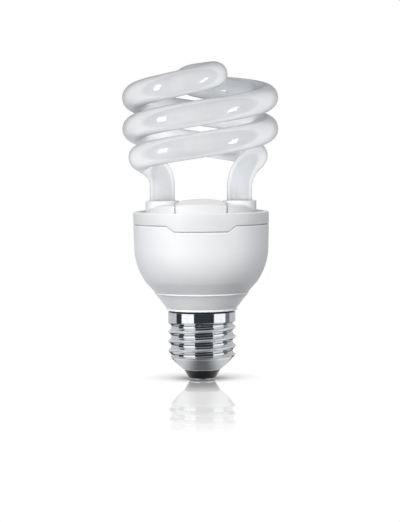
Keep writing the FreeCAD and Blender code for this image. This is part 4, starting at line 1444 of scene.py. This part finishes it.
@dataclass
class Studio:
    """White floor and background, soft lamps, reflection panels and the camera."""

    eye: Spot = (-0.00053, -0.85, 0.097)
    roll: float = 0.45
    pitch: float = 3.43
    focal_pixels: float = 2201.0
    picture_height: float = 522.0
    film: float = 36.0
    view_end: float = 20.0
    floor_radius: float = 0.9
    floor_level: float = -0.00005
    floor_white: float = 1.02
    shine: float = 0.3
    shine_end: Span = (0.095, 0.165)
    shine_roughness: float = 0.03
    gloss: float = 0.42
    gloss_end: Span = (0.012, 0.05)
    shadow_reach: float = 0.024
    shadow_lean: Spot = (0.0, -0.66, 0.75)
    shadow_span: Span = (0.17, 0.95)
    shadow_tone: float = 0.12
    # Painted shadow seen only in reflections: the tone under the cap, then the tone beside it
    cap_shade_tones: Span = (0.17, 0.8)
    cap_width: Span = (0.002, 0.013)
    table_tone: float = 0.06
    table_start: Span = (0.02, 0.027)
    table_edge: Span = (0.045, 0.07)
    bounce: Span = (0.1, 1.6)
    bounce_tint: Colour = (0.93, 0.96, 1.0)
    bounce_depth: Span = (-0.02, 0.02)
    bounce_end: Span = (0.07, 0.16)
    bounce_far: float = 0.35
    canopy_radius: float = 1.3
    canopy_level: float = 1.25
    canopy_glow: float = 0.5
    ambient: float = 0.27

    LAMPS: ClassVar[tuple[Softbox, ...]] = (
        Softbox("left_lamp", -40.0, 18.0, 1.0, (0.5, 0.5), 4.1, Aim.BODY),
        Softbox("front_lamp", 0.0, 27.0, 1.1, (0.6, 0.6), 9.6, Aim.BODY),
        Softbox("left_low_lamp", -80.0, -40.0, 1.0, (0.5, 0.5), 0.5, Aim.BODY, COOL),
        Softbox("right_low_lamp", 80.0, -40.0, 1.0, (0.5, 0.5), 0.45, Aim.BODY, COOL),
        Softbox("top_lamp", 0.0, 88.0, 1.0, (0.9, 0.9), 0.6, Aim.BODY),
        Softbox("back_lamp", 180.0, 14.0, 1.0, (1.2, 1.2), 3.0, Aim.ALL, (0.96, 0.98, 1.0)),
        Softbox("glass_front_lamp", 0.0, 20.0, 1.0, (0.9, 0.9), 4.8, Aim.GLASS),
        Softbox("glass_low_lamp", 10.0, -45.0, 1.0, (0.9, 0.9), 4.0, Aim.GLASS),
        Softbox("glass_inner_lamp", 0.0, 89.0, 0.05, (0.02, 0.02), 0.003, Aim.GLASS),
        Softbox("left_glint", -57.0, -5.0, 0.92, (0.22, 0.55), 4.8, Aim.GLASS, glint=True),
        Softbox("right_glint", 51.0, -7.0, 0.92, (0.22, 0.55), 4.8, Aim.GLASS, glint=True),
    )
    PANELS: ClassVar[tuple[Panel, ...]] = (
        Panel("left_box", (-73.0, -28.0), (-0.26, 0.1), 0.93, 1.4),
        Panel("right_box", (42.0, 88.0), (-0.26, 0.1), 0.93, 1.3),
        Panel("left_flag", (-97.0, -73.0), (-0.3, 0.15), 0.93, 0.06, NAVY),
        Panel("right_flag", (88.0, 108.0), (-0.3, 0.15), 0.93, 0.24, (0.86, 0.92, 1.0)),
        Panel("front_flag", (-28.0, 42.0), (-0.35, 0.9), 0.95, 0.06, NAVY),
        Panel("left_cloth", (-73.0, -28.0), (-0.6, 1.3), 1.05, 1.2),
        Panel("right_cloth", (42.0, 88.0), (-0.6, 1.3), 1.05, 1.0),
        Panel("left_side_cloth", (-97.0, -73.0), (-0.6, 1.3), 1.05, 0.45),
        Panel("right_side_cloth", (88.0, 108.0), (-0.6, 1.3), 1.05, 0.45),
        Panel("left_back_cloth", (-165.0, -97.0), (-0.6, 1.3), 1.05, 0.72),
        Panel("right_back_cloth", (108.0, 165.0), (-0.6, 1.3), 1.05, 0.65),
    )

    def background(self) -> None:
        """Set a world that is white to the eye, to metal and to glass, and a dimmer sky for matt surfaces."""
        recipe = Recipe("white_studio", world=True)
        seen = recipe.ray("Camera").most(recipe.ray("Glossy")).most(recipe.ray("Transmission"))
        sky, white = (recipe.add("ShaderNodeBackground", {}, {"Color": (*tint, 1.0), "Strength": strength})
                      for tint, strength in ((COOL, self.ambient), (WHITE, 1.0)))
        bpy.context.scene.world = recipe.ends_with(recipe.mix(seen, sky, white))

    def floor_finish(self) -> bpy.types.Material:
        """Make the floor: white with a shadow close round the foot, and a sheen that fades away from it.

        Metal and glass see only a small table, with a painted shadow under the cap that only reflections see.
        Matt surfaces get light from it that is weaker in front and stronger behind.

        Returns:
            The floor's material.
        """
        recipe = Recipe("white_floor")
        place = recipe.place()
        deep = recipe.part_of(place, "Y")
        aside = abs(recipe.part_of(place, "X"))
        far = recipe.reach(place)
        lean = recipe.add("ShaderNodeCombineXYZ", {}, dict(enumerate(self.shadow_lean)))
        lit = recipe.openness(self.shadow_reach, 16, Normal=lean).eased(*self.shadow_span)
        mirror = recipe.add("ShaderNodeBsdfGlossy", {},
                            {"Color": (*WHITE, 1.0), "Roughness": self.shine_roughness})
        sheen = far.eased(*self.shine_end, self.shine, 0.0) + far.eased(*self.gloss_end, self.gloss, 0.0)
        polished = recipe.mix(sheen, recipe.glow(self.floor_white), mirror)
        seen = recipe.mix(lit, recipe.glow(self.shadow_tone), polished)
        # Painted shadow: dark under the cap, lighter beside it, seen only in reflections
        under = recipe.mix(aside.eased(*self.cap_width), *(recipe.glow(tone) for tone in self.cap_shade_tones))
        table = recipe.mix(far.eased(*self.table_start), under, recipe.glow(self.table_tone))
        cut = recipe.mix(far.eased(*self.table_edge), table, recipe.add("ShaderNodeBsdfTransparent"))
        behind = deep.eased(*self.bounce_depth) * far.eased(*self.bounce_end, 1.0, self.bounce_far)
        bounce = recipe.mix(behind, *(recipe.glow(strength, self.bounce_tint) for strength in self.bounce))
        unseen = recipe.mix(recipe.ray("Glossy"), bounce, cut)
        material = recipe.ends_with(recipe.mix(recipe.ray("Camera"), unseen, seen))
        material.cycles.emission_sampling = "NONE"
        return material

    def disc(self, name: str, radius: float, level: float) -> bpy.types.Object:
        """Lay a level disc.

        Args:
            name: Its name.
            radius: Its radius.
            level: How high it lies.

        Returns:
            The disc.
        """
        clear_selection()
        bpy.ops.mesh.primitive_circle_add(vertices=96, radius=radius, fill_type="NGON",
                                          location=(0, 0, level))
        return settle(name)

    def floor(self) -> None:
        """Lay a round floor just under the contact."""
        piece = self.disc("floor", self.floor_radius, self.floor_level)
        piece.data.materials.append(self.floor_finish())
        piece.visible_shadow = False

    def canopy(self) -> None:
        """Close the panels at the top with a grey cloth that only reflections see."""
        only_reflected(self.disc("canopy", self.canopy_radius, self.canopy_level), self.canopy_glow)

    def camera(self) -> None:
        """Set the camera where the photograph was taken from."""
        clear_selection()
        tilt = Matrix.Rotation(math.radians(90.0 - self.pitch), 3, "X")
        facing = tilt @ Matrix.Rotation(-math.radians(self.roll), 3, "Z")
        bpy.ops.object.camera_add(location=self.eye, rotation=facing.to_euler())
        camera = bpy.context.object
        camera.data.sensor_width = self.film
        camera.data.lens = self.focal_pixels / self.picture_height * self.film
        camera.data.clip_end = self.view_end
        bpy.context.scene.camera = camera

    def set_up(self) -> None:
        """Build the whole set."""
        bpy.context.scene.view_settings.view_transform = "Standard"
        self.background()
        self.floor()
        for lamp in self.LAMPS:
            lamp.hang()
        for panel in self.PANELS:
            panel.stand()
        self.canopy()
        self.camera()


def mount(piece: bpy.types.Object, material: bpy.types.Material, slot: str, *nodes: str) -> None:
    """Put a finished piece in the place of its solids.

    Args:
        piece: The piece, built in the part's frame.
        material: Its finish.
        slot: The record's slot for that finish; not used.
        nodes: The solids that it stands for.
    """
    piece.data.materials.clear()
    piece.data.materials.append(material)
    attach(piece, "root")
    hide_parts(*nodes)
    LOG.info("built %s with %d faces", piece.name, len(piece.data.polygons))


def main() -> None:
    """Build and dress the bulb and set up the studio."""
    logging.basicConfig(level=logging.INFO, format="%(message)s")
    seam = Seam()
    cover, cap = TopCover(seam), ScrewCap()
    cover_plastic = SatinPlastic(
        "white_cover", (0.745, 0.745, 0.75), (0.705, 0.705, 0.715), (0.75, 0.75, 0.755), 0.34)
    # The housing's neck colour is painted paler: painted light for what the floor throws up
    housing_plastic = SatinPlastic(
        "white_housing", (0.82, 0.825, 0.835), (0.78, 0.785, 0.80), (0.93, 0.935, 0.945), 0.4)
    contact_tin = TinnedMetal("tinned_contact", (0.75, 0.75, 0.74), (0.55, 0.55, 0.54), 0.25)
    cement = InnerFinish("white_cement", (0.80, 0.80, 0.78), (0.68, 0.68, 0.66), 0.75, Pattern.SPECKLE, 900.0)
    mount(SpiralTube().build(), MilkyGlass().material(), "milky_glass", "glass_tube")
    mount(cover.build(), cover_plastic.material(), "white_cover", "top_cover")
    filling = cement.material()
    for bed, node in zip(cover.beds(), ("left_leg_cement", "right_leg_cement")):
        mount(bed, filling, "white_cement", node)
    mount(Housing(seam).build(), housing_plastic.material(), "white_housing", "housing")
    mount(cap.shell(), NickelPlate().material(), "nickel_plate", "screw_shell")
    mount(cap.plug(), BlackGlass().material(), "black_glass", "insulator")
    mount(cap.contact(), contact_tin.material(), "tinned_contact", "centre_contact")
    Ballast().dress()
    Studio().set_up()


if __name__ == "__main__":
    main()
